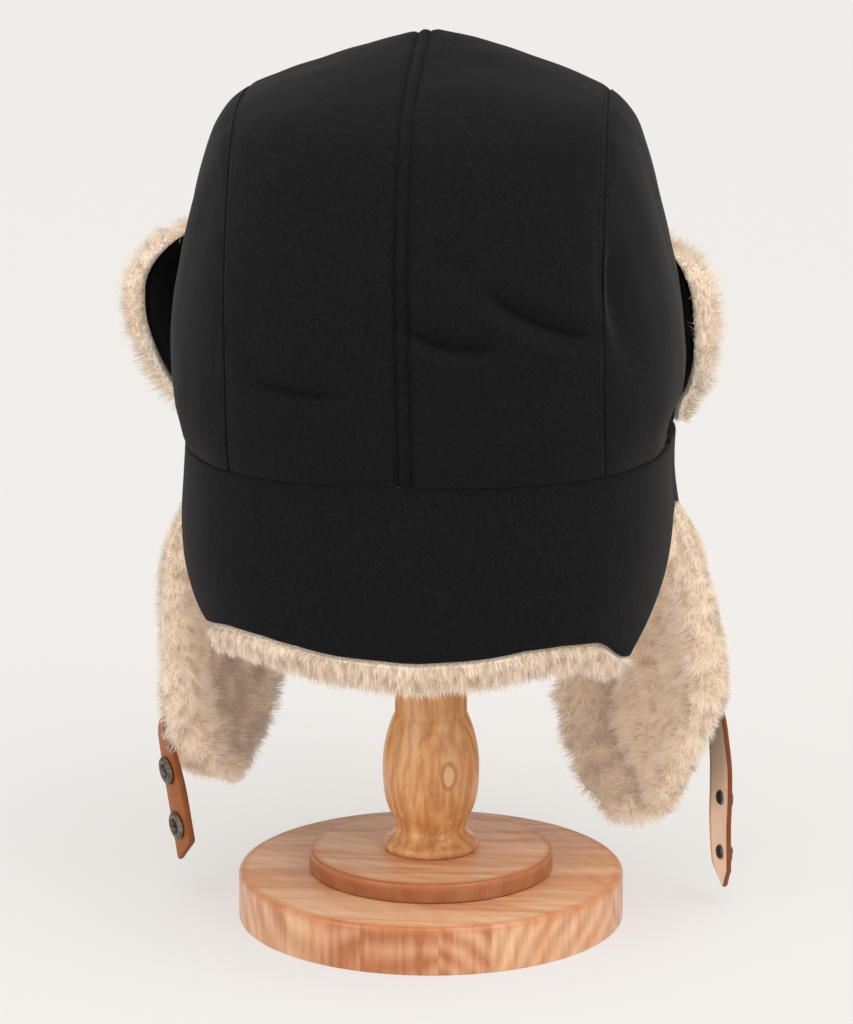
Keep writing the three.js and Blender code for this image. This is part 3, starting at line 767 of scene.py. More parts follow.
def neck_cloth(u, v, depth):
    """The neck flap's cloth, with its two darts and the slight waves of a hanging flap."""
    points = neck_point(u, v, depth)
    x, z = points[..., 0], points[..., 2]
    wave = 0.5 * ripple(x, 0 * x, z * 0.3, 34, 21) * smooth(v, 0.05, 0.6)
    wave = wave + 0.22 * ripple(x, 0 * x, z * 0.25, 11, 22)
    for dart in DARTS:
        wave = wave - 0.45 * np.exp(-(((x - dart["x"]) / 1.3) ** 2)) * (1 - smooth(v, 0.3, dart["long"]))
    points[..., 1] -= wave * np.cos(np.radians(mix(-1, 1, u) * 60))
    points[..., 2] += RIM_GAP * (1 - smooth(v, 0, 0.1))
    return points


def ear_cloth(side):
    """The point function of an ear flap's cloth, which bulges softly away from the head."""
    def point(u, v, depth):
        points = ear_point(side, u, v, depth)
        x, y, z = (points[..., k] for k in range(3))
        wave = 0.6 * ripple(x, y, z, 44, 31) + 0.25 * ripple(x, y, z, 17, 33)
        points[..., 0] += SIDES[side] * wave * smooth(v, 0, 0.2)
        points[..., 2] += RIM_GAP * (1 - smooth(v, 0, 0.1))
        return points
    return point


flaps = {
    "neck_flap": cloth_sheet("neck_flap_cloth", neck_cloth, FLAP_SIZE["neck"], FLAP_WALL, FLAP_ROLL),
    "front_flap": cloth_sheet("front_flap_cloth", front_point, FLAP_SIZE["front"], FLAP_WALL, FLAP_ROLL),
}
for side in SIDES:
    flaps[f"ear_flap_{side}"] = cloth_sheet(
        f"ear_flap_cloth_{side}", ear_cloth(side), FLAP_SIZE[f"ear_{side}"], FLAP_WALL, FLAP_ROLL
    )
print("flap cloths:", {name: len(piece.data.polygons) for name, piece in flaps.items()})

# %% [markdown]
# ## Pile
#
# The lining is a deep pile. Its mass is a soft, rounded pad behind each flap, and what the
# eye reads as fur is the outer third: fine tapering hairs that lean with their neighbours in
# tufts. So each pad is a closed sheet with lumps where the tufts are, and Geometry Nodes
# scatter the hairs over it. A hair is two faces and a tip, because there are many thousands.

# %% Pad surface
PAD_SHARE = 0.68
PAD_ROLL = 6.0
PAD_PITCH = 2.4
ROW_TALL = 6  # a row of the pile below the hem
HANGING = (0, 0, -0.4)  # how the pile leans on the flaps that hang
TURNED_UP = (0, 0, 0.15)
FRINGE_WRAP = -1.2  # the fringe stands this far outside the cloth at its side edges


def unit(vectors):
    """The same directions, a unit long."""
    return vectors / np.maximum(np.linalg.norm(vectors, axis=-1, keepdims=True), 1e-9)


def pad(
    name, point, size, sides, rows, lean_way, press=None, bare=0.6, start=(0.06, 0.16), thin=0.35,
    splay=1.6, dark=None,
):
    """The dense part of the pile behind a flap, past its edges by the fringe: sides is a share of
    the width and rows a number of rows below the hem. Its marks tell the hairs where to grow,
    which way to lean and how dark to be."""
    wide, tall = size[0] * (1 + 2 * sides), size[1] + ROW_TALL * rows
    us = mix(-0.85 * sides, 1 + 0.85 * sides, steps(wide, PAD_PITCH, PAD_ROLL))
    vs = mix(0.0, 1 + 0.75 * rows, steps(tall, PAD_PITCH, PAD_ROLL))
    u, v = np.meshgrid(us, vs)
    to_side = np.minimum(u - us[0], us[-1] - u) * size[0]
    to_end = np.minimum(v * size[1] + 3, (vs[-1] - v) * 5)
    close = rolled(np.minimum(to_side, to_end), PAD_ROLL)
    side_past = np.maximum(-u, u - 1) / sides if sides else 0 * u - 1
    loose = mix(0.2, 1, smooth(v, 0.1, 0.45))
    side_wrap = smooth(side_past, 0, 0.6) * loose
    end_wrap = smooth(v, 1, 1.3)
    inside_u = np.clip(u, 0, 1)
    u = inside_u + (u - inside_u) * loose
    back = mix(mix(FLAP_WALL + LAYER_GAP, FRINGE_WRAP, side_wrap), 1.0, end_wrap)
    seat = point(u, v, back)
    x, y, z = (seat[..., k] for k in range(3))
    lumps = 1 + 0.13 * ripple(x, y, z, 15, 41) + 0.12 * ripple(x, y, z, 8, 43)
    height = PILE * PAD_SHARE * lumps + (FLAP_WALL + LAYER_GAP - back)
    height = height * mix(thin, 1, smooth(v, 0, 0.2))
    if press is not None:
        height = height * press(u, v)
    under = point(u, v, back + 0.5 * height * close)
    over = point(u, v, back + height * (1 - 0.5 * close))
    flat = point(u, v, np.zeros_like(u))
    side_out = unit(np.gradient(flat, axis=1)) * (np.sign(u - 0.5) * side_wrap)[..., None]
    end_out = unit(np.gradient(seat, axis=0)) * smooth(v, 0.93, 1.0)[..., None]
    lean_all = np.broadcast_to(np.array(lean_way, float), seat.shape)
    shown = smooth(v, *start)
    pressed = np.ones_like(u) if press is None else np.clip(press(u, v), 0.25, 1)
    past = np.where((side_wrap > bare) | (v > 0.98), shown, 0.0)
    light = 1 - (0 * u if dark is None else dark(u, v))
    marks = {
        "comb": (lean_all + 0.8 * (side_out + end_out), lean_all + splay * side_out + 3.5 * end_out),
        "stand": (1 + 0 * u, 0.1 + 0 * u),
        "hairy": (shown * pressed, past),
        "shade": (light, light),
    }
    return sheet(name, over, under, us, vs, size, marks)


print("pads stand", round(PILE * PAD_SHARE, 1), "mm deep")

# %% [markdown]
# ## Creases and shade in the pile
#
# A pile isn't even. It parts and lets its depth show, it is creased where a flap curls over,
# and little light reaches it between two flaps. So the right ear flap's pad is pressed in
# along a valley, and each hanging flap has painted shade and painted light, by its own u and
# v, that its hairs carry.

# %% Creases and shade
VALLEY = table("v u", [(0.48, 0.78), (0.59, 0.74), (0.66, 0.75), (0.73, 0.66), (0.81, 0.30), (0.88, 0.05)])


def ear_valley(v):
    """Where across the right ear flap its crease lies, at v down the flap."""
    return np.interp(v, VALLEY["v"], VALLEY["u"])


def valley_depth(v):
    """How far the crease is formed at v, from 0 at its two ends to 1."""
    return smooth(v, 0.44, 0.58) * (1 - smooth(v, 0.84, 0.93))


def ear_press(u, v):
    """The right ear flap's pile is creased where its front edge curls over."""
    past = u - ear_valley(v)
    curl = 0.6 * smooth(past, 0.0, 0.12) * smooth(v, 0.45, 0.65)
    return 1 + curl - 0.96 * np.exp(-((past * 100 / 5.6) ** 2)) * valley_depth(v)


def parted(u, v, seed):
    """Where a hanging flap's pile parts and lets its depth show, from about -1 to 1."""
    wide, tall, patch = 98, 152, 13
    return ripple(u * wide, v * tall, 0 * u, patch, seed)


def right_shade(u, v):
    """Painted shade and light on the right ear flap's pile: darker down in the crease and on the curled edge,
    lighter over the rest of the flap, in patches.
    """
    past = u - ear_valley(v)
    crease = 1.15 * np.exp(-((past * 100 / 5.0) ** 2)) + 0.3 * smooth(past, 0, 0.1)
    return valley_depth(v) * crease - 0.2 + 0.2 * parted(u, v, 62)


def left_shade(u, v):
    """Painted shade and light on the left ear flap's pile: its inner half is darker, as it lies in the shade
    of the neck flap, the rest a little lighter, in patches.
    """
    inner = smooth(u, 0.14, 0.34) * smooth(v, 0.4, 0.6)
    return 0.6 * inner - 0.12 + parted(u, v, 61) * (0.15 + 0.35 * inner)


def hem_shade(_, v):
    """The fringe under the neck flap's hem is a little darker than the pile behind the cloth."""
    return 0.24 * smooth(v, 0.9, 1.0)


print("the crease starts at u", round(float(ear_valley(0.5)), 2), "and ends at u", VALLEY["u"][-1])

# %% Pads of the flaps
def ear_on(side):
    """The point function of one ear flap."""
    return lambda u, v, depth: ear_point(side, u, v, depth)


pads = {
    "neck_pile": pad("neck_pad", neck_point, FLAP_SIZE["neck"], 0, 2, HANGING, dark=hem_shade),
    "front_pile": pad(
        "front_pad", front_point, FLAP_SIZE["front"], FRONT_FRINGE, 1, TURNED_UP,
        bare=0.8, start=(-0.02, 0.02), thin=0.8, splay=3,
    ),
    "ear_pile_left": pad(
        "ear_pad_left", ear_on("left"), FLAP_SIZE["ear_left"], EAR_FRINGE, 1, HANGING, dark=left_shade
    ),
    "ear_pile_right": pad(
        "ear_pad_right", ear_on("right"), FLAP_SIZE["ear_right"], EAR_FRINGE, 1, HANGING, ear_press,
        dark=right_shade,
    ),
}
print("pads:", {name: len(piece.data.polygons) for name, piece in pads.items()})

# %% [markdown]
# ## Curled rims
#
# The pile comes round the rear edge of each ear flap in a thick roll, and hides the cloth's
# edge. A roll is a closed sheet of its own along that edge, from a small table of its sizes,
# with rounded ends.

# %% Rolls
def roll_pad(name, side, heights):
    """A roll of pile that comes round an ear flap's rear edge, along a table of its sizes."""
    around = -np.cos(np.linspace(0, math.pi, 15))
    along = (1 - np.cos(np.linspace(0, math.pi, 60))) / 2
    s, t = np.meshgrid(around, along)
    row = between(heights, t * (len(heights["v"]) - 1))
    end = np.maximum(np.sqrt(np.clip(1 - (2 * t - 1) ** 6, 0, 1)), 0.12)
    middle = ear_point(side, row["u"], row["v"], row["depth"])
    ahead = unit(ear_point(side, row["u"] + 0.01, row["v"], row["depth"]) - middle)
    out = unit(middle - ear_point(side, row["u"], row["v"], row["depth"] + 1))
    wide, thick = row["wide"] * end, row["thick"] * np.where(end > 0.13, end, 0)
    thick = thick * (1 + 0.12 * ripple(middle[..., 0], middle[..., 1], middle[..., 2], 12, 47))
    across = ahead * (s * wide)[..., None]
    rise = out * (thick * np.sqrt(1 - s * s))[..., None]
    lean_all = np.broadcast_to(np.array(HANGING, float), middle.shape)
    back_off = lean_all - 1.2 * ahead
    marks = {mark: (1 + 0 * s, 1 + 0 * s) for mark in ("stand", "hairy", "shade")}
    marks["comb"] = (back_off, back_off)
    return sheet(name, middle + across + rise, middle + across - rise, around, along, (12, 90), marks)


rolls = {
    "ear_roll_left": roll_pad("ear_roll_left", "left", table("u v depth wide thick", [
        (0.03, 0.17, 1.2, 7, 1.6),
        (0.03, 0.34, 0.8, 6, 1.8),
        (0.03, 0.50, 0.5, 5.5, 1.8),
        (0.03, 0.66, 0.0, 6.5, 3.0),
        (0.02, 0.80, 0.0, 7, 4.0),
        (0.06, 0.92, 0.5, 6, 3.0),
    ])),
    "ear_roll_right": roll_pad("ear_roll_right", "right", table("u v depth wide thick", [
        (0.05, 0.17, 0.0, 7, 2.2),
        (0.03, 0.26, 0.2, 7, 3.6),
        (0.02, 0.38, 0.5, 6.5, 2.8),
        (0.02, 0.52, 0.5, 6, 2.4),
        (0.02, 0.60, 0.8, 5, 2.4),
    ])),
}
print("rolls:", {name: len(piece.data.polygons) for name, piece in rolls.items()})

# %% [markdown]
# ## Geometry trees in code
#
# Geometry Nodes can be built from Python as well as by hand. This class adds a node at a
# time, makes the named inputs of the tree, and runs it: the tree goes on an object as a
# modifier, its result is taken as a plain mesh, and the modifier is removed.

# %% Helpers for geometry trees
class Tree:
    """A geometry node tree that is built a node at a time, with named inputs."""

    def __init__(self, name, **inputs):
        self.tree = bpy.data.node_groups.new(name, "GeometryNodeTree")
        face = self.tree.interface
        face.new_socket("Geometry", in_out="INPUT", socket_type="NodeSocketGeometry")
        self.names = {}
        for key, (kind, value) in inputs.items():
            socket = face.new_socket(key, in_out="INPUT", socket_type=kind)
            if value is not None:
                socket.default_value = value
            self.names[key] = socket.identifier
        face.new_socket("Geometry", in_out="OUTPUT", socket_type="NodeSocketGeometry")
        self.start = self.tree.nodes.new("NodeGroupInput")
        self.end = self.tree.nodes.new("NodeGroupOutput")

    def input(self, name):
        return self.start.outputs[name]

    def node(self, kind, settings=None, inputs=None):
        """A node with its settings, and its inputs by name or number as values or links."""
        node = self.tree.nodes.new(kind)
        for key, value in (settings or {}).items():
            setattr(node, key, value)
        for key, value in (inputs or {}).items():
            socket = node.inputs[key]
            if isinstance(value, bpy.types.NodeSocket):
                self.tree.links.new(value, socket)
            else:
                socket.default_value = value
        return node

    def math(self, operation, first, second):
        return self.node("ShaderNodeMath", {"operation": operation}, {0: first, 1: second}).outputs[0]

    def attribute(self, name, kind="FLOAT"):
        return self.node("GeometryNodeInputNamedAttribute", {"data_type": kind}, {"Name": name}).outputs[0]

    def chance(self, low, high, seed):
        """A random value for each point, or a random vector where low is one."""
        vector = isinstance(low, tuple)
        kind, first = ("FLOAT_VECTOR", 0) if vector else ("FLOAT", 2)
        inputs = {first: low, first + 1: high, "Seed": seed}
        return self.node("FunctionNodeRandomValue", {"data_type": kind}, inputs).outputs[0 if vector else 1]

    def vector(self, operation, first, second=None, scale=None):
        inputs = {0: first}
        if second is not None:
            inputs[1] = second
        if scale is not None:
            inputs["Scale"] = scale
        return self.node("ShaderNodeVectorMath", {"operation": operation}, inputs).outputs[0]

    def finish(self, geometry, material):
        """Ends the tree in real meshes with one material."""
        real = self.node("GeometryNodeRealizeInstances", {}, {0: geometry})
        inputs = {"Geometry": real.outputs[0], "Material": material}
        dressed = self.node("GeometryNodeSetMaterial", {}, inputs)
        self.tree.links.new(dressed.outputs[0], self.end.inputs[0])

    def run(self, made, name, **values):
        """Runs the tree on an object and returns its result as a plain object."""
        modifier = made.modifiers.new("tree", "NODES")
        modifier.node_group = self.tree
        for key, value in values.items():
            modifier[self.names[key]] = value
        bpy.context.view_layer.update()
        graph = bpy.context.evaluated_depsgraph_get()
        mesh = bpy.data.meshes.new_from_object(made.evaluated_get(graph), depsgraph=graph)
        made.modifiers.remove(modifier)
        result = bpy.data.objects.new(name, mesh)
        mesh.name = name
        bpy.context.scene.collection.objects.link(result)
        return result


print("a tree's steps:", [name for name in vars(Tree) if not name.startswith("__")])

# %% [markdown]
# ## Pile finish
#
# A pile is darker at its roots, where light is trapped, and pale at its tips. Each hair
# carries its tone as an attribute. Light also passes through the hairs, so nearly half of
# each one's shader is translucent, and a faint glow stands in for the light that real hairs
# hand on to each other many times.

# %% Pile materials
PILE_TIP = linear(253, 247, 238)
PILE_MID = linear(250, 238, 222)
PILE_ROOT = linear(240, 220, 196)
PILE_SHADE = linear(152, 118, 88)


def pile_material(name, hairs):
    """The finish of the hairs, or of the dense pad that shows between them."""
    made = Material(
        name, "pile", Roughness=0.9, Specular_IOR_Level=0.1, Sheen_Weight=0.15, Sheen_Roughness=0.5,
        Emission_Color=PILE_MID, Emission_Strength=0.11,
    )
    place = made.place()
    cloud = made.noise(place, 60, 3).between(0.3, 0.7)
    if hairs:
        along, tone = made.attribute("along"), made.attribute("tone")
        colour = made.mix(along.between(0.0, 0.7), PILE_ROOT, PILE_TIP)
        colour = made.mix(cloud * 0.26, colour, PILE_MID)
        colour = made.mix((1 - tone).between(0.25, 0.95) * 0.9, colour, PILE_SHADE)
        through = made.node("ShaderNodeBsdfTranslucent", {}, {"Color": PILE_TIP})
        both = made.node("ShaderNodeMixShader", {}, {"Fac": 0.45})
        made.tree.links.new(made.shader.outputs[0], both.inputs[1])
        made.tree.links.new(through.outputs[0], both.inputs[2])
        made.tree.links.new(both.outputs[0], made.tree.nodes["Material Output"].inputs["Surface"])
    else:
        strands = made.noise(made.place((1, 1, 0.3)), 900, 2)
        shade = made.attribute("shade")
        colour = made.mix((cloud * 0.3 + strands * 0.7).between(0.2, 0.8), PILE_ROOT, PILE_MID)
        colour = made.mix((1 - shade * strands.between(0.2, 0.6)) * 0.8, colour, PILE_SHADE)
        made.bump(strands, 0.0006)
    made.set("Base Color", colour)
    return made


pile_hair = pile_material("pile_hair", True)
pile_pad = pile_material("pile_pad", False)
print("pile finishes:", pile_hair.made.name, "and", pile_pad.made.name)

# %% [markdown]
# ## Hairs by Geometry Nodes
#
# The tree scatters points over the pad, more or less dense by an attribute, and turns one
# small blade along each point's direction. The direction is the surface's own, plus the way
# the pad is combed, a slow noise that gathers tufts, and some chance. A finer noise gives the
# hairs of one lock the same length and tone. The tree ends in real meshes, since an export
# can't hold instances.

# %% Hair tree
def blade():
    """One hair, a unit long and wide: two faces and a tip, bent a little, with its length marked."""
    points = [(-0.5, 0, 0), (0.5, 0, 0), (0.38, 0.52, 0.05), (-0.38, 0.52, 0.05), (0, 1, 0.22)]
    mesh = bpy.data.meshes.new("hair")
    mesh.from_pydata(points, [], [(0, 1, 2, 3), (3, 2, 4)])
    along = mesh.attributes.new("along", "FLOAT", "POINT")
    along.data.foreach_set("value", [p[1] for p in points])
    return bpy.data.objects.new("hair", mesh)


hair_tree = Tree(
    "pile_hairs",
    Hair=("NodeSocketObject", None),
    Density=("NodeSocketFloat", 3.0e6),
    Length=("NodeSocketFloat", 7.0 * MM),
    Width=("NodeSocketFloat", 0.3 * MM),
    Tuft=("NodeSocketFloat", 1.0),
    Grain=("NodeSocketFloat", 240.0),
    Seed=("NodeSocketInt", 1),
)
t = hair_tree
density = t.math("MULTIPLY", t.input("Density"), t.attribute("hairy"))
scatter = t.node(
    "GeometryNodeDistributePointsOnFaces", {"distribute_method": "RANDOM"},
    {"Mesh": t.input("Geometry"), "Density": density, "Seed": t.input("Seed")},
)
place = t.node("GeometryNodeInputPosition").outputs[0]
comb = t.attribute("comb", "FLOAT_VECTOR")
tufts = t.node("ShaderNodeTexNoise", {}, {"Vector": place, "Scale": 100.0, "Detail": 1.5})
swirl = t.node("ShaderNodeTexNoise", {}, {"Vector": place, "Scale": 40.0, "Detail": 0.0})
fine = t.node("ShaderNodeTexNoise", {}, {"Vector": place, "Scale": t.input("Grain"), "Detail": 1.0})
spread = {"Value": fine.outputs["Fac"], "From Min": 0.36, "From Max": 0.62}
clump = t.node("ShaderNodeMapRange", {}, spread).outputs[0]
centre = (-0.5, -0.5, -0.5)
gather = t.vector("SCALE", t.vector("ADD", tufts.outputs["Color"], centre), scale=t.input("Tuft"))
drift = t.vector("SCALE", t.vector("ADD", swirl.outputs["Color"], centre), scale=1.4)
chance = t.chance((-0.32, -0.32, -0.32), (0.32, 0.32, 0.32), t.input("Seed"))
heading = t.vector("ADD", t.vector("SCALE", scatter.outputs["Normal"], scale=t.attribute("stand")), comb)
heading = t.vector("ADD", heading, t.vector("SCALE", gather, scale=2.0))
heading = t.vector("ADD", heading, drift)
heading = t.vector("NORMALIZE", t.vector("ADD", heading, chance))
aimed = t.node("FunctionNodeAlignRotationToVector", {"axis": "Y"}, {"Vector": heading})
roll = t.chance(-1.2, 1.2, t.input("Seed"))
spun = t.node("FunctionNodeAxisAngleToRotation", {}, {"Axis": (0, 1, 0), "Angle": roll})
turned_hair = t.node(
    "FunctionNodeRotateRotation", {"rotation_space": "LOCAL"},
    {"Rotation": aimed.outputs[0], "Rotate By": spun.outputs[0]},
)
length = t.math("MULTIPLY", t.input("Length"), t.chance(0.75, 1.1, t.input("Seed")))
length = t.math("MULTIPLY", length, t.math("ADD", t.math("MULTIPLY", clump, 0.45), 0.7))
size = t.node("ShaderNodeCombineXYZ", {}, {0: t.input("Width"), 1: length, 2: length})
own_tone = t.chance(0.0, 0.35, 77)
tone = t.math("MULTIPLY", t.math("ADD", t.math("MULTIPLY", clump, 0.65), own_tone), t.attribute("shade"))
marked = t.node(
    "GeometryNodeStoreNamedAttribute", {"data_type": "FLOAT", "domain": "POINT"},
    {"Geometry": scatter.outputs["Points"], "Name": "tone", "Value": tone},
)
hair_shape = t.node("GeometryNodeObjectInfo", {}, {"Object": t.input("Hair")})
placed = t.node(
    "GeometryNodeInstanceOnPoints", {},
    {"Points": marked.outputs[0], "Instance": hair_shape.outputs["Geometry"],
     "Rotation": turned_hair.outputs[0], "Scale": size.outputs[0]},
)
t.finish(placed.outputs[0], pile_hair.made)
print("hair tree:", len(hair_tree.tree.nodes), "nodes")

# %% Scatter the hairs
FUR = {
    "neck_pile": {"density": 2.5e6, "length": 5.4, "tuft": 1.2, "seed": 11, "grain": 400.0},
    "front_pile": {"density": 1.7e6, "length": 5.4, "tuft": 1.2, "seed": 12},
    "ear_pile_left": {"density": 2.6e6, "length": 5.2, "tuft": 1.5, "seed": 13},
    "ear_pile_right": {"density": 2.4e6, "length": 5.2, "tuft": 1.4, "seed": 14},
    "ear_roll_left": {"density": 2.6e6, "length": 4.0, "tuft": 1.0, "seed": 15},
    "ear_roll_right": {"density": 2.6e6, "length": 4.0, "tuft": 1.0, "seed": 16},
}
HAIR_WIDTH = 0.3 * MM
LOCK_GRAIN = 260.0  # how fine the noise is that gives a lock's hairs one length and tone
hair = blade()
furs = {}
for node, fur in FUR.items():
    furs[node] = hair_tree.run(
        (pads | rolls)[node], f"{node}_hairs", Hair=hair, Density=fur["density"], Length=fur["length"] * MM,
        Width=HAIR_WIDTH, Tuft=fur["tuft"], Grain=fur.get("grain", LOCK_GRAIN), Seed=fur["seed"],
    )
bpy.data.objects.remove(hair)
print("hairs:", {name: len(fur.data.polygons) // 2 for name, fur in furs.items()})

# %% [markdown]
# ## Cloth finish
#
# The cloth is a matte black with a faintly brushed face. In strong light it is charcoal, and
# its weave shows only as a fine grain. The pattern follows the sheet's own UV map, which is
# in real millimetres, so that threads are as small as they should be.

# %% Cloth materials
CLOTH = linear(12, 11, 12)
CLOTH_LIGHT = linear(21, 20, 21)
# The near black of the shade painted along seams and creases.
SEAM_CREASE_SHADE = linear(3, 3, 3)
THREAD = 0.9 * MM


def cloth_material(name, lining):
    """Black cloth, with the pile's colour on the inner face where it is a lining."""
    made = Material(
        name, "cloth", Roughness=0.9, Specular_IOR_Level=0.1, Sheen_Weight=0.05, Sheen_Roughness=0.5
    )
    u, v, _ = made.axes(made.place(source="UV"))
    weave = ((u * (math.tau / THREAD)).math("SINE") * (v * (math.tau / THREAD)).math("SINE")) * 0.5 + 0.5
    fuzz = made.noise(made.place(), 700, 3, 0.6)
    outside = made.mix(fuzz.between(0.3, 0.75), CLOTH, CLOTH_LIGHT)
    # Painted shade: darkened towards near black along seams, a stitch row and crease bottoms.
    outside = made.mix(made.attribute("seam_crease_shade") * 0.75, outside, SEAM_CREASE_SHADE)
    if lining:
        inside = made.attribute("inside").between(0.8, 0.97)
        outside = made.mix(inside, outside, made.mix(fuzz.between(0.3, 0.7), PILE_ROOT, PILE_MID))
    made.set("Base Color", outside)
    made.bump(weave * 0.25 + fuzz * 0.75, 0.0003, 0.6)
    return made


crown_cloth = cloth_material("crown_cloth", True)
flap_cloth = cloth_material("flap_cloth", False)


def dress(piece, material):
    """Puts one material on a whole piece."""
    piece.data.materials.clear()
    piece.data.materials.append(material.made)


for piece in crown.values():
    dress(piece, crown_cloth)
for piece in flaps.values():
    dress(piece, flap_cloth)
for piece in (pads | rolls).values():
    dress(piece, pile_pad)
print("cloth and pile dressed")

# %% [markdown]
# ## Straps
#
# Each strap is one piece of leather that is sewn to the ear flap and hangs from it. Its line
# is a curve through a few places, and at every distance along it the strap has a direction
# down, one across and one out of its face. The hat's straps show their tan face on the left
# and their paler flesh side on the right.

# %% Strap lines
STRAP_WIDTH = 18
STRAP_THICK = 2
STRAP_POINT = 8.5
STRAP_TIP_SHIFT = {"left": 5, "right": 0}
STRAP_SEAT = {"left": {"u": 0.15, "v": (6 / 11, 7 / 11)}, "right": {"u": 0.16, "v": (5 / 11, 6 / 11)}}
STRAP_GAP = 0.8
STRAP_ROUTE = {
    "left": table("x y z face", [
        (-104.6, 9.5, 73, 200), (-103.4, 9, 60, 209), (-100.4, 8, 43, 210), (-96, 6, 17.5, 211),
    ]),
    "right": table("x y z face", [
        (110.6, 17.5, 73, 24), (112.4, 20, 59, 25), (112.6, 21, 45.5, 25), (112.3, 21, 31.5, 23),
        (113.6, 21, 6, 19),
    ]),
}


def through(points, count=400):
    """A centripetal curve through points, as places an equal share apart, and its length."""
    ends = [2 * points[0] - points[1], *points, 2 * points[-1] - points[-2]]
    traced = []
    for start in range(len(points) - 1):
        a, b, c, d = ends[start:start + 4]
        gaps = [max(np.linalg.norm(q - p) ** 0.5, 1e-4) for p, q in ((a, b), (b, c), (c, d))]
        leave = ((b - a) / gaps[0] - (c - a) / (gaps[0] + gaps[1]) + (c - b) / gaps[1]) * gaps[1]
        arrive = ((c - b) / gaps[1] - (d - b) / (gaps[1] + gaps[2]) + (d - c) / gaps[2]) * gaps[1]
        for t in np.linspace(0, 1, 60, endpoint=start == len(points) - 2):
            bend = (2 * b - 2 * c + leave + arrive) * t + (3 * c - 3 * b - 2 * leave - arrive)
            traced.append(b + t * (leave + t * bend))
    traced = np.array(traced)
    run = np.concatenate([[0], np.cumsum(np.linalg.norm(np.diff(traced, axis=0), axis=1))])
    even = np.linspace(0, run[-1], count)
    return np.stack([np.interp(even, run, traced[:, k]) for k in range(3)], -1), run[-1]


class StrapLine:
    """A strap's middle line, with its directions at any distance from its root."""

    def __init__(self, side):
        seat = STRAP_SEAT[side]
        places, faces = [], []
        for v in seat["v"]:
            on, under = (ear_point(side, seat["u"], v, depth) for depth in (0.0, 1.0))
            out = on - under
            places.append(on + out * STRAP_GAP)
            faces.append(math.degrees(math.atan2(out[1], out[0])) % 360)
        route = STRAP_ROUTE[side]
        places += list(stack(route["x"], route["y"], route["z"]))
        self.faces = {"face": np.array(faces + list(route["face"]))}
        self.line, self.length = through(places)

    def frame(self, distance):
        """The place at a distance from the root, and the ways across, down and out there."""
        share = np.clip(distance / self.length, 0, 1)
        at = share * (len(self.line) - 1)
        knots = np.arange(len(self.line))
        place = np.stack([np.interp(at, knots, self.line[:, k]) for k in range(3)], -1)
        ahead = np.gradient(self.line, axis=0)
        down = np.stack([np.interp(at, knots, ahead[:, k]) for k in range(3)], -1)
        down /= np.linalg.norm(down, axis=-1, keepdims=True)
        face = np.radians(between(self.faces, share * (len(self.faces["face"]) - 1))["face"])
        out = np.stack([np.cos(face), np.sin(face), 0 * face], -1)
        across = np.cross(down, out)
        across /= np.linalg.norm(across, axis=-1, keepdims=True)
        out = np.cross(across, down)
        return place, across, down, out


lines = {side: StrapLine(side) for side in SIDES}
print("straps:", {side: round(line.length, 1) for side, line in lines.items()}, "mm long")

# %% Strap leather
STRAP_ROLL = 0.9
CUP = 1.1  # how far the strap's edges curl towards its inner face


def strap(side):
    """A strap of leather along its line: its root is rounded, its tip is cut to a point, and
    its edges curl towards the inner face."""
    line = lines[side]
    def point(u, v, depth):
        distance = v * line.length
        place, across, _, out = line.frame(distance)
        tip = np.clip((line.length - distance) / STRAP_POINT, 0, 1)
        round_off = np.clip(distance / 4, 0, 1)
        root = np.sqrt(round_off * (2 - round_off)) * 0.25 + 0.75
        half = STRAP_WIDTH / 2 * np.minimum(root, 0.03 + 0.97 * tip)
        turn = mix(-1, 1, u)
        shift = STRAP_TIP_SHIFT[side] * (1 - tip)
        curl = CUP * turn**2 * smooth(distance, 25, 45) * smooth(tip, 0, 1)
        sway = 0.35 * np.sin(distance / 11)
        height = STRAP_THICK - depth - curl + sway * smooth(distance, 20, 40) * 0.5
        return place + across * (turn * half + shift)[..., None] + out * height[..., None]
    size = (STRAP_WIDTH, line.length)
    return cloth_sheet(f"strap_leather_{side}", point, size, STRAP_THICK, STRAP_ROLL, 1.2, border=(0.4, 0.9))


straps = {side: strap(side) for side in SIDES}

LEATHER_FACE = linear(160, 88, 36)
LEATHER_DARK = linear(124, 64, 28)
FLESH = linear(246, 216, 190)
FLESH_DARK = linear(204, 152, 116)
leather = Material("strap_leather", "leather", Specular_IOR_Level=0.25)
u, v, _ = leather.axes(leather.place(source="UV"))
inside = leather.attribute("inside").between(0.3, 0.7)
from_edge = (u - STRAP_WIDTH / 2 * MM).math("ABSOLUTE")
rim = from_edge.between(6.4 * MM, 8.6 * MM)
grain = leather.noise(leather.place(), 900, 4, 0.6)
streak = leather.noise(leather.place((1, 1, 0.2), source="UV"), 260, 3)
wear_and_shade = leather.noise(leather.place(), 120, 3).between(0.35, 0.65)
face = leather.mix((rim * 0.7 + wear_and_shade * 0.3).between(0.1, 0.9), LEATHER_FACE, LEATHER_DARK)
flesh = leather.mix((rim * 0.8 + streak * 0.35).between(0.1, 1.0), FLESH, FLESH_DARK)
leather.set("Base Color", leather.mix(inside, face, flesh))
leather.set("Roughness", inside * 0.2 + grain * 0.2 + 0.42)
leather.bump(grain, 0.0002, 0.5)
for piece in straps.values():
    dress(piece, leather)
print("strap faces:", {side: len(piece.data.polygons) for side, piece in straps.items()})

# %% [markdown]
# ## Turned pieces
#
# The stand was turned on a lathe, and a snap's cap is spun from sheet metal. Both are a
# profile that goes round an axis. The profile's corners are rounded first, since even a
# crisp edge on lacquered wood catches a line of light.

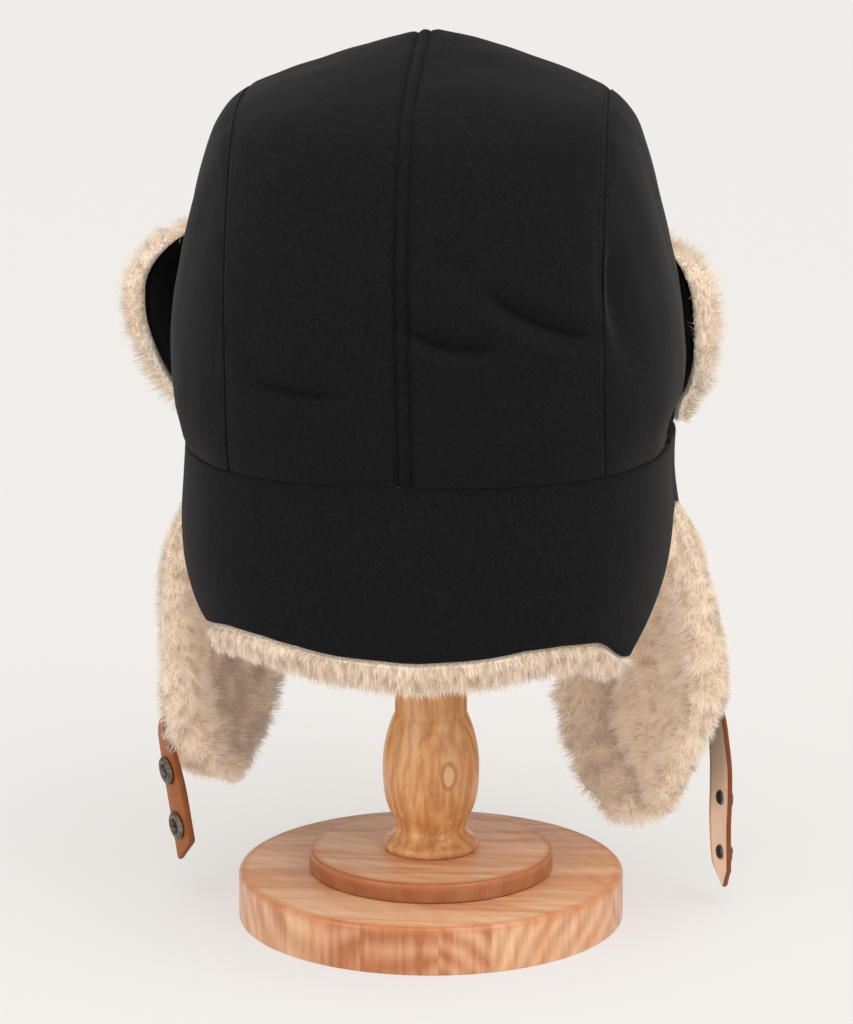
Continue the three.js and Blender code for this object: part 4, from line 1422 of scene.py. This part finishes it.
# %% Lathe
def rounded(profile, radius, count=5):
    """A profile of (radius, height) with each marked corner rounded."""
    points = [np.array(p[:2], float) for p in profile]
    out = [points[0]]
    for before, here, after, row in zip(points, points[1:], points[2:], profile[1:]):
        cut = row[2] if len(row) > 2 else radius
        one, two = before - here, after - here
        cut = min(cut, 0.45 * np.linalg.norm(one), 0.45 * np.linalg.norm(two))
        if cut < 1e-3:
            out.append(here)
            continue
        start, end = here + one / np.linalg.norm(one) * cut, here + two / np.linalg.norm(two) * cut
        for t in np.linspace(0, 1, count):
            out.append((1 - t) ** 2 * start + 2 * t * (1 - t) * here + t * t * end)
    return out + [points[-1]]


def turn(name, profile, sides, frame_at=None):
    """A closed solid from a profile that starts and ends on its axis."""
    profile = np.array(profile)
    angles = np.arange(sides) * math.tau / sides
    reach, height = profile[1:-1, 0][:, None], profile[1:-1, 1][:, None]
    ring = stack(reach * np.cos(angles), reach * np.sin(angles), height)
    points = np.concatenate([[[0, 0, profile[0, 1]]], ring.reshape(-1, 3), [[0, 0, profile[-1, 1]]]])
    rows, last = len(profile) - 2, len(points) - 1
    faces = []
    for k in range(sides):
        n = (k + 1) % sides
        faces.append((0, 1 + n, 1 + k))
        faces.append((last, last - sides + k, last - sides + n))
        for r in range(rows - 1):
            a, b = 1 + r * sides, 1 + (r + 1) * sides
            faces.append((a + k, a + n, b + n, b + k))
    if frame_at is not None:
        place, across, down, out = frame_at
        points = place + points[:, :1] * across + points[:, 1:2] * down + points[:, 2:] * out
    if signed_volume(points, faces) < 0:
        faces = [f[::-1] for f in faces]
    made = mesh_object(name, points, faces)
    radii = np.concatenate([[0], np.repeat(profile[1:-1, 0], sides), [0]]).astype(np.float32)
    made.data.attributes.new("from_axis", "FLOAT", "POINT").data.foreach_set("value", radii)
    return made


print("a corner of 2 mm:", np.round(rounded([(0, 0), (10, 0), (10, 10)], 2, 3), 1).tolist())

# %% [markdown]
# ## Snaps
#
# Each strap has two snaps that are riveted through it, sockets on the left strap and studs on
# the right one. A snap is turned as one profile, from the rivet's foot inside the strap to
# the cap over it, and set in the strap's own directions at its place along the line.

# %% Snaps
SNAP_PITCH = 22.4
SNAP_TO_TIP = 14.5
SNAP_R = 5.7
OVER = STRAP_THICK + 0.1
SNAP_SIDES = 28
# Profiles of radius, height and corner: the rivet from inside the strap, then the cap over it
RIVET = [
    (0, -1.3), (2.0, -1.3, 0.5), (3.0, -0.5, 0.4), (3.0, -0.1, 0.1), (1.7, -0.1), (1.7, OVER),
    (SNAP_R, OVER, 0.2),
]
SOCKET = [(SNAP_R, 0.8, 0.5), (5.0, 1.6, 0.5), (3.9, 1.8, 0.4), (3.0, 1.4, 0.3), (2.7, 0.2, 0.2), (0, 0.1, 0)]
STUD = [
    (SNAP_R, 0.5, 0.3), (5.2, 0.9, 0.3), (2.4, 0.6, 0.4), (1.8, 1.2, 0.3), (2.1, 2.2, 0.4), (1.2, 2.8, 0.3),
    (0, 2.8, 0),
]
SNAP = {"left": SOCKET, "right": STUD}
snaps = {}
for side in SIDES:
    profile = rounded(RIVET + [(r, OVER + z, corner) for r, z, corner in SNAP[side]], 0.1)
    low_snap = lines[side].length - SNAP_TO_TIP
    for name, distance in (("upper", low_snap - SNAP_PITCH), ("lower", low_snap)):
        seat = lines[side].frame(np.array(distance))
        snaps[f"snap_{side}_{name}"] = turn(f"snap_cap_{side}_{name}", profile, SNAP_SIDES, seat)

metal = Material("snap_metal", "snap")
patina = metal.noise(metal.place(), 500, 4, 0.6).between(0.35, 0.7)
# Painted shade: within about 2.3 to 3 mm of its axis every snap is near black and not metallic, as the shade
# down in a socket's hole; the studs' middles get the same.
hole_shade = 1 - metal.attribute("from_axis").between(2.3, 3.0)
plated = metal.mix(patina, linear(84, 76, 70), linear(140, 129, 118))
metal.set("Base Color", metal.mix(hole_shade, plated, linear(9, 8, 8)))
metal.set("Metallic", 0.9 - hole_shade * 0.9)
metal.set("Roughness", patina * -0.15 + 0.5 + hole_shade * 0.3)
for piece in snaps.values():
    dress(piece, metal)
print("snaps:", len(snaps))

# %% [markdown]
# ## Stand
#
# Base, riser and post take their sizes from the solids. The post's profile is a baluster:
# a rounded foot, a narrow waist and a long belly.

# %% Stand pieces
def box_mm(node):
    """A solid's lowest and highest corner, in millimetres."""
    low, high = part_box(node)
    return [c / MM for c in low], [c / MM for c in high]


def disc(node, name, edge=2.4):
    """A turned disc as large as its solid, its upper edge rounded."""
    low, high = box_mm(node)
    r = high[0]
    profile = [(0, low[2]), (r, low[2], 0.8), (r, high[2], edge), (0, high[2])]
    return turn(name, rounded(profile, edge, 8), 192)


POST = table("r z", [
    (18.0, 0), (18.7, 1.2), (18.1, 3.2), (15.5, 5.4), (13.7, 8.4), (14.4, 12.0), (16.5, 16.2), (18.0, 21.6),
    (18.7, 28.6), (18.7, 35.6), (18.0, 41.6), (16.6, 47.6), (15.0, 52.2), (14.0, 54.6),
])
SPIGOT = {"r": 10, "length": 14}


def post():
    """The baluster from the riser up to the spigot that goes into the cap."""
    low, high = box_mm("stand_post")
    row = between(POST, np.linspace(0, len(POST["z"]) - 1, 66))
    belly = [(r, low[2] + z, 0) for r, z in zip(row["r"], row["z"])]
    shoulder = high[2] - SPIGOT["length"]
    neck = [(14, shoulder, 0.5), (SPIGOT["r"], shoulder, 0.2), (SPIGOT["r"], high[2], 0.8), (0, high[2])]
    return turn("stand_post_wood", rounded([(0, low[2]), *belly, *neck], 0), 96)


def cap():
    """The dome that the crown rests on, bored for the post's spigot."""
    low, high = box_mm("stand_cap")
    r, side, bore = high[0], 14, SPIGOT["r"] + 0.3
    rise = high[2] - low[2] - side
    angles = np.linspace(0, math.pi / 2, 24)[:-1]
    dome = [(r * math.cos(a), low[2] + side + rise * math.sin(a), 0) for a in angles]
    deep = low[2] + SPIGOT["length"] + 0.6
    foot = [(0, deep), (bore, deep, 0.2), (bore, low[2], 0.4), (30, low[2], 1.0), (38, low[2] + 4, 2.0)]
    return turn("stand_cap_wood", rounded([*foot, *dome, (0, high[2])], 0), 128)


stand = {
    "stand_base": disc("stand_base", "stand_base_wood"),
    "stand_riser": disc("stand_riser", "stand_riser_wood", 1.6),
    "stand_post": post(),
    "stand_cap": cap(),
}
print("stand:", {name: len(piece.data.polygons) for name, piece in stand.items()})

# %% [markdown]
# ## Wood finish
#
# Grain is a solid thing: a board keeps a slice of the tree's rings, which show as long
# streaks along it and as arcs on its cut end. So the pattern is made in three dimensions
# from the distance to a pith beside the board. The base and riser are glued from strips,
# each with a pith of its own. The post is one piece, and its belly cuts across a knot.

# %% Wood of the base and the riser
WOOD_PALE = linear(248, 210, 172)
WOOD_MID = linear(236, 180, 132)
WOOD_DARK = linear(202, 120, 66)
WOOD_BAND = linear(172, 102, 60)
WOOD_EDGE = linear(150, 82, 42)
STRIP = 16 * MM


def rings(one, two, spacing, wobble):
    """Growth rings round a pith, from two coordinates across the grain."""
    reach = (one * one + two * two).math("SQRT")
    return ((reach + wobble) * (math.tau / spacing)).math("SINE") * 0.5 + 0.5


def wood_material(name, angle, node, stain):
    """Glued strips of a board, their grain an angle from the hat's left and right. The lathe cuts
    across the strips at the side, where their rings show as upright bands, and stain is darker."""
    made = Material(name, "wood", Specular_IOR_Level=0.45, Coat_Weight=0.2, Coat_Roughness=0.2)
    turned = (0, 0, math.radians(angle))
    along, across, up = made.axes(made.place(turn=turned))
    strip = (across / STRIP + 40.37).math("FLOOR")
    own = made.value("ShaderNodeTexWhiteNoise", "Value", {"noise_dimensions": "1D"}, {"W": strip})
    other = made.value("ShaderNodeTexWhiteNoise", "Value", {"noise_dimensions": "1D"}, {"W": strip + 7.3})
    fibre = made.noise(made.place((0.05, 1, 0.12), turned), 700, 5, 0.65, 0.2)
    streak = made.noise(made.place((0.06, 1, 0.2), turned), 150, 3, 0.6, 0.5)
    band = made.noise(made.place((0.10, 1, 0.3), turned), 90, 2, 0.5, 0.8)
    bend = made.noise(made.place(), 18, 2) * 0.02
    from_pith = up * 0.5 + 0.03 + other * 0.04 + along * 0.22
    growth = rings(across + (own - 0.5) * 0.2, from_pith, 6.2 * MM, bend)
    pale = made.mix((streak * 0.6 + fibre * 0.4).between(0.32, 0.68), WOOD_PALE, WOOD_MID)
    high = box_mm(node)[1]
    x, y, z = made.axes(made.place())
    radius = (x * x + y * y).math("SQRT")
    side = radius.between((high[0] - 1.8) * MM, (high[0] - 0.8) * MM)
    streaks = (growth * 0.3 + band.between(0.44, 0.62) * 0.9) * (side * -0.4 + 0.55)
    colour = made.mix(streaks, pale, WOOD_DARK)
    colour = made.mix(fibre.between(0.56, 0.78) * 0.35, colour, WOOD_DARK)
    colour = made.mix(other * 0.25, colour, WOOD_MID)
    upright = made.noise(made.place((1, 1, 0.06)), 260, 4, 0.6, 0.4)
    heart = 1 - (x + 0.012).math("ABSOLUTE").between(0.016, 0.03)
    bands = growth * 0.3 + 0.14 + own.between(0.2, 0.8) * 0.2
    bands = bands + upright.between(0.38, 0.72) * 0.34 + heart * 0.34
    colour = made.mix(side * bands, colour, WOOD_BAND)
    colour = made.mix(side * stain, colour, WOOD_EDGE)
    outer = radius.between((high[0] - 4.5) * MM, (high[0] - 1.5) * MM)
    upper = z.between((high[2] - 3.4) * MM, (high[2] - 1.2) * MM)
    colour = made.mix(outer * upper * 0.45, colour, WOOD_DARK)
    made.set("Base Color", colour)
    made.set("Roughness", fibre * 0.12 + 0.32)
    made.bump(fibre, 0.00015, 0.5)
    return made


base_wood = wood_material("base_wood", 38, "stand_base", 0.0)
riser_wood = wood_material("riser_wood", 42, "stand_riser", 0.75)
print("strips:", round(STRIP / MM), "mm wide")

# %% Wood of the post
POST_TONES = {
    "pale": (230, 176, 118),
    "mid": (202, 142, 86),
    "dark": (166, 98, 50),
    "line": (140, 86, 48),
    "knot": (226, 182, 130),
    "knot ring": (146, 92, 52),
}


def post_material():
    """One upright piece: wavy streaks along it that part round a small knot."""
    made = Material("post_wood", "wood", Specular_IOR_Level=0.45, Coat_Weight=0.25, Coat_Roughness=0.2)
    x, y, z = made.axes(made.place())
    tones = {name: linear(*tone) for name, tone in POST_TONES.items()}
    knot_x, knot_z = (x - 8.0 * MM) / (2.7 * MM), (z - 60.5 * MM) / (5.3 * MM)
    from_knot = (knot_x * knot_x + knot_z * knot_z).math("SQRT")
    facing = 1 - y.between(-6 * MM, -2 * MM)
    near = (1 - from_knot.between(0.7, 3.4)) * facing
    push = knot_x * near * (2.4 * MM)
    drift = made.noise(made.place((1, 1, 0.45)), 60, 3, 0.55) * 0.016
    growth = rings(x - push - 0.03, y + 0.055, 5.2 * MM, drift)
    fibre = made.noise(made.place((1, 1, 0.07)), 620, 4, 0.65, 0.3)
    streak = made.noise(made.place((1, 1, 0.12)), 190, 3, 0.6, 1.2)
    colour = made.mix((streak * 0.65 + fibre * 0.35).between(0.3, 0.7), tones["pale"], tones["mid"])
    colour = made.mix((growth * 0.3 + streak * 0.7).between(0.3, 0.85) * 0.6, colour, tones["dark"])
    colour = made.mix(fibre.between(0.56, 0.76) * 0.3, colour, tones["line"])
    ring = (1 - (from_knot - 0.95).math("ABSOLUTE").between(0.0, 0.35)) * facing
    heart = (1 - from_knot.between(0.5, 0.85)) * facing
    colour = made.mix(heart * 0.7, colour, tones["knot"])
    colour = made.mix(ring * 0.6, colour, tones["knot ring"])
    made.set("Base Color", colour)
    made.set("Roughness", fibre * 0.12 + 0.34)
    made.bump(fibre, 0.00015, 0.5)
    return made


post_wood = post_material()
for name, finish in zip(stand, (base_wood, riser_wood, post_wood, base_wood)):
    dress(stand[name], finish)
print("wood finishes: 3")

# %% [markdown]
# ## Stitches
#
# A machine leaves a row of equal stitches, each sunk into the cloth at its two ends. A row is
# an edge line on the surface, and the tree walks along it: it resamples the line at the
# stitch's pitch and sets one small grain of thread at each place, along the line and flat on
# the cloth.

# %% Stitch tree
stitch_tree = Tree(
    "stitches",
    Pitch=("NodeSocketFloat", 2.8 * MM),
    Length=("NodeSocketFloat", 2.1 * MM),
    Thread=("NodeSocketFloat", 0.55 * MM),
    Material=("NodeSocketMaterial", None),
)
t = stitch_tree
path = t.node("GeometryNodeMeshToCurve", {}, {"Mesh": t.input("Geometry")})
spaced = {"Curve": path.outputs[0], "Length": t.input("Pitch")}
dots = t.node("GeometryNodeResampleCurve", {"mode": "LENGTH"}, spaced)
tangent = t.node("GeometryNodeInputTangent").outputs[0]
facing = t.node(
    "FunctionNodeAxesToRotation", {"primary_axis": "X", "secondary_axis": "Z"},
    {"Primary Axis": tangent, "Secondary Axis": t.attribute("out", "FLOAT_VECTOR")},
)
grain = t.node("GeometryNodeMeshUVSphere", {}, {"Segments": 6, "Rings": 4, "Radius": 0.5})
thick = t.node("ShaderNodeCombineXYZ", {}, {0: t.input("Length"), 1: t.input("Thread"), 2: t.input("Thread")})
sewn = t.node(
    "GeometryNodeInstanceOnPoints", {},
    {"Points": dots.outputs[0], "Instance": grain.outputs[0],
     "Rotation": facing.outputs[0], "Scale": thick.outputs[0]},
)
t.finish(sewn.outputs[0], t.input("Material"))
print("stitch tree:", len(stitch_tree.tree.nodes), "nodes")

# %% Rows of stitches
def sew(name, rows, material, **sizes):
    """One object of stitches along rows of (points, outward directions), in millimetres."""
    points, outs, edges = [], [], []
    for places, directions in rows:
        start = len(points)
        points += [tuple(p * MM) for p in places]
        outs += list(directions)
        edges += [(start + i, start + i + 1) for i in range(len(places) - 1)]
    mesh = bpy.data.meshes.new("rows")
    mesh.from_pydata(points, edges, [])
    outward = mesh.attributes.new("out", "FLOAT_VECTOR", "POINT")
    outward.data.foreach_set("vector", np.array(outs, np.float32).ravel())
    rows_object = bpy.data.objects.new("rows", mesh)
    bpy.context.scene.collection.objects.link(rows_object)
    values = {key: value * MM for key, value in sizes.items()}
    made = stitch_tree.run(rows_object, name, Material=material.made, **values)
    bpy.data.objects.remove(rows_object)
    return made


def row_on(point, us, vs, lift=0.0):
    """A row of places on point(u, v, depth), with the directions out of the surface."""
    us, vs = np.broadcast_arrays(np.asarray(us, float), np.asarray(vs, float))
    on, under = point(us, vs, 0.0 * us), point(us, vs, 0.0 * us + 1.0)
    out = on - under
    out /= np.maximum(np.linalg.norm(out, axis=-1, keepdims=True), 1e-6)
    return on + out * lift, out


print("a place on the neck flap:", np.round(row_on(neck_point, 0.5, 0.5)[0], 1).tolist())

# %% [markdown]
# ## Sewing
#
# The crown is top-stitched in black thread: beside the centre seam on the left panel alone,
# and just inside the seams to the side panels. Each strap is sewn down with a box of brown
# stitches on the outer face of its ear flap.

# %% Sewing
thread = Material("black_thread", "cloth", Roughness=0.9, Specular_IOR_Level=0.1)
twist = thread.noise(thread.place(), 1500, 2)
thread.set("Base Color", thread.mix(twist, linear(2, 2, 2), linear(7, 7, 7)))
rows = []
walk = np.linspace(-0.995, 0.995, 300)
for side, sign in SIDES.items():
    for x in ([STITCH_OFF] if side == "left" else []) + [SEAM_X - 1.6]:
        def crown_row(_, v, depth, sign=sign, x=x):
            return top_point(sign * x + 0 * v, v, depth)
        rows.append(row_on(crown_row, 0.0 * walk, walk, -0.18))
crown_stitches = sew("crown_stitches", rows, thread, Pitch=2.8, Length=2.2, Thread=0.5)

strap_thread = Material("tan_thread", "leather", Roughness=0.7)
strap_twist = strap_thread.noise(strap_thread.place(), 1500, 2)
strap_thread.set("Base Color", strap_thread.mix(strap_twist, linear(60, 44, 34), linear(104, 78, 60)))
strap_rows = []
SEWN_HALF, SEWN_FROM, SEWN_TO = 6.2, 3, 17
for side, line in lines.items():
    box = [(-1, SEWN_FROM), (1, SEWN_FROM), (1, SEWN_TO), (-1, SEWN_TO), (-1, SEWN_FROM)]
    places, outs = [], []
    for (a, s), (b, e) in zip(box, box[1:]):
        for share in np.linspace(0, 1, 8)[:-1]:
            place, across, _, out = line.frame(np.array(mix(s, e, share)))
            places.append(place + across * mix(a, b, share) * SEWN_HALF + out * (STRAP_THICK + 0.05))
            outs.append(out)
    places.append(places[0])
    outs.append(outs[0])
    strap_rows.append((places, outs))
strap_stitches = sew("strap_stitches", strap_rows, strap_thread, Pitch=2.6, Length=2.0, Thread=0.6)
print("stitches:", len(crown_stitches.data.polygons), len(strap_stitches.data.polygons))

# %% [markdown]
# ## What rides, and what stands for what
#
# The hat and its stand are one body. Each finished piece takes the place of its solid.

# %% Riding and replacing
for group in (crown, flaps, pads, snaps, stand):
    for node, piece in group.items():
        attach(piece, "root")
        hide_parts(node)
for piece in (*furs.values(), *rolls.values()):
    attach(piece, "root")
for side, piece in straps.items():
    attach(piece, "root")
    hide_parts(f"strap_{side}")
for piece in (crown_stitches, strap_stitches):
    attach(piece, "root")
for node, piece in flaps.items():
    key = node.replace("_flap", "")
    width, length = (c * MM for c in FLAP_SIZE[key])
    area = sheet_area(piece)
    held = "folded" if key == "front" else "hung"
    cut = min(area, width * length)
    print(node, "area", round(area * 1e4, 1), "cm2 of", round(width * length * 1e4, 1))

# %% [markdown]
# ## Floor, light and camera
#
# A pale floor and a pale, far wall under a broad, soft light, as in a small product studio.
# The camera stands behind the hat, a little to its right and above it, with a long lens.

# %% Stage
def backdrop(name, points, faces, glow):
    """A pale, matte piece of the studio with a light of its own, in metres."""
    paint = Material(f"pale_{name}", "wood", Roughness=0.9, Specular_IOR_Level=0.1)
    paint.set("Base Color", linear(138, 137, 136))
    paint.set("Emission Color", linear(255, 251, 247))
    paint.set("Emission Strength", glow)
    mesh = bpy.data.meshes.new(name)
    mesh.from_pydata(points, [], faces)
    mesh.materials.append(paint.made)
    made = bpy.data.objects.new(name, mesh)
    bpy.context.scene.collection.objects.link(made)
    made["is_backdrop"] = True


FLOOR = 30
corners = [(x * FLOOR, y * FLOOR, 0) for x, y in ((-1, -1), (1, -1), (1, 1), (-1, 1))]
backdrop("floor", corners, [(0, 1, 2, 3)], 0.58)

# A low round wall far away carries the floor's white on up, so that no view shows where it ends
WALL_AWAY, WALL_HIGH, WALL_SIDES = 14, 2.2, 96
turns = np.arange(WALL_SIDES) * math.tau / WALL_SIDES
wall = [(WALL_AWAY * math.cos(a), WALL_AWAY * math.sin(a), z) for z in (0, WALL_HIGH) for a in turns]
pairs = [(k, (k + 1) % WALL_SIDES) for k in range(WALL_SIDES)]
backdrop("wall", wall, [(k, k + WALL_SIDES, n + WALL_SIDES, n) for k, n in pairs], 0.72)
print("floor", 2 * FLOOR, "m wide, wall", WALL_AWAY, "m away")

# %% Light
world = bpy.data.worlds.new("studio")
world.use_nodes = True
sky = world.node_tree.nodes["Background"]
sky.inputs["Color"].default_value = (1.0, 0.985, 0.97, 1)
sky.inputs["Strength"].default_value = 0.42
bpy.context.scene.world = world


def lamp(name, place, target, size, watts, colour):
    """A round, soft lamp at a place, turned to a target."""
    light = bpy.data.lights.new(name, "AREA")
    light.shape = "DISK"
    light.size = size
    light.energy = watts
    light.color = colour
    made = bpy.data.objects.new(name, light)
    made.location = place
    made.rotation_mode = "QUATERNION"
    made.rotation_quaternion = (Vector(target) - Vector(place)).to_track_quat("-Z", "Y")
    bpy.context.scene.collection.objects.link(made)


MIDDLE = (0, 0, 0.17)
lamp("key", (1.5, -1.7, 1.1), MIDDLE, 1.0, 12, (1.0, 0.93, 0.84))
lamp("fill", (-1.7, -1.6, 0.8), MIDDLE, 1.2, 15, (1.0, 0.98, 0.96))

# A broad light from above whitens the whole floor evenly, which no lamp near the hat could
ceiling_light = bpy.data.lights.new("ceiling", "SUN")
ceiling_light.energy = 2.2
ceiling_light.angle = math.radians(60)
ceiling = bpy.data.objects.new("ceiling", ceiling_light)
ceiling.rotation_euler = (math.radians(20), math.radians(10), 0)
bpy.context.scene.collection.objects.link(ceiling)

# %% Camera
EYE_AZIMUTH = math.radians(3.9)
EYE_AWAY = 1.6
EYE_HEIGHT = 0.5375
EYE_PITCH = math.radians(13.24)
PHOTO = {"width": 853, "height": 1024}
FOCAL_PIXELS = 4290
AXIS_PIXEL = 431  # where the stand's axis is in the photograph's width
lens = bpy.data.cameras.new("camera")
lens.sensor_width = 36
lens.lens = FOCAL_PIXELS * lens.sensor_width / PHOTO["height"]
lens.shift_x = -(AXIS_PIXEL - PHOTO["width"] / 2) / PHOTO["height"]
lens.clip_start, lens.clip_end = 0.05, 100
camera = bpy.data.objects.new("camera", lens)
camera.location = (EYE_AWAY * math.sin(EYE_AZIMUTH), -EYE_AWAY * math.cos(EYE_AZIMUTH), EYE_HEIGHT)
camera.rotation_mode = "QUATERNION"
looking = Vector((
    -math.sin(EYE_AZIMUTH) * math.cos(EYE_PITCH),
    math.cos(EYE_AZIMUTH) * math.cos(EYE_PITCH),
    -math.sin(EYE_PITCH),
))
camera.rotation_quaternion = looking.to_track_quat("-Z", "Y")
bpy.context.scene.collection.objects.link(camera)
bpy.context.scene.camera = camera
bpy.context.scene.view_settings.view_transform = "Standard"
print("lens", round(lens.lens, 1), "mm")

# %% Sizes and the end
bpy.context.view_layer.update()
total = sum(len(p.vertices) - 2 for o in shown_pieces() for p in o.data.polygons)
print("triangles:", total)
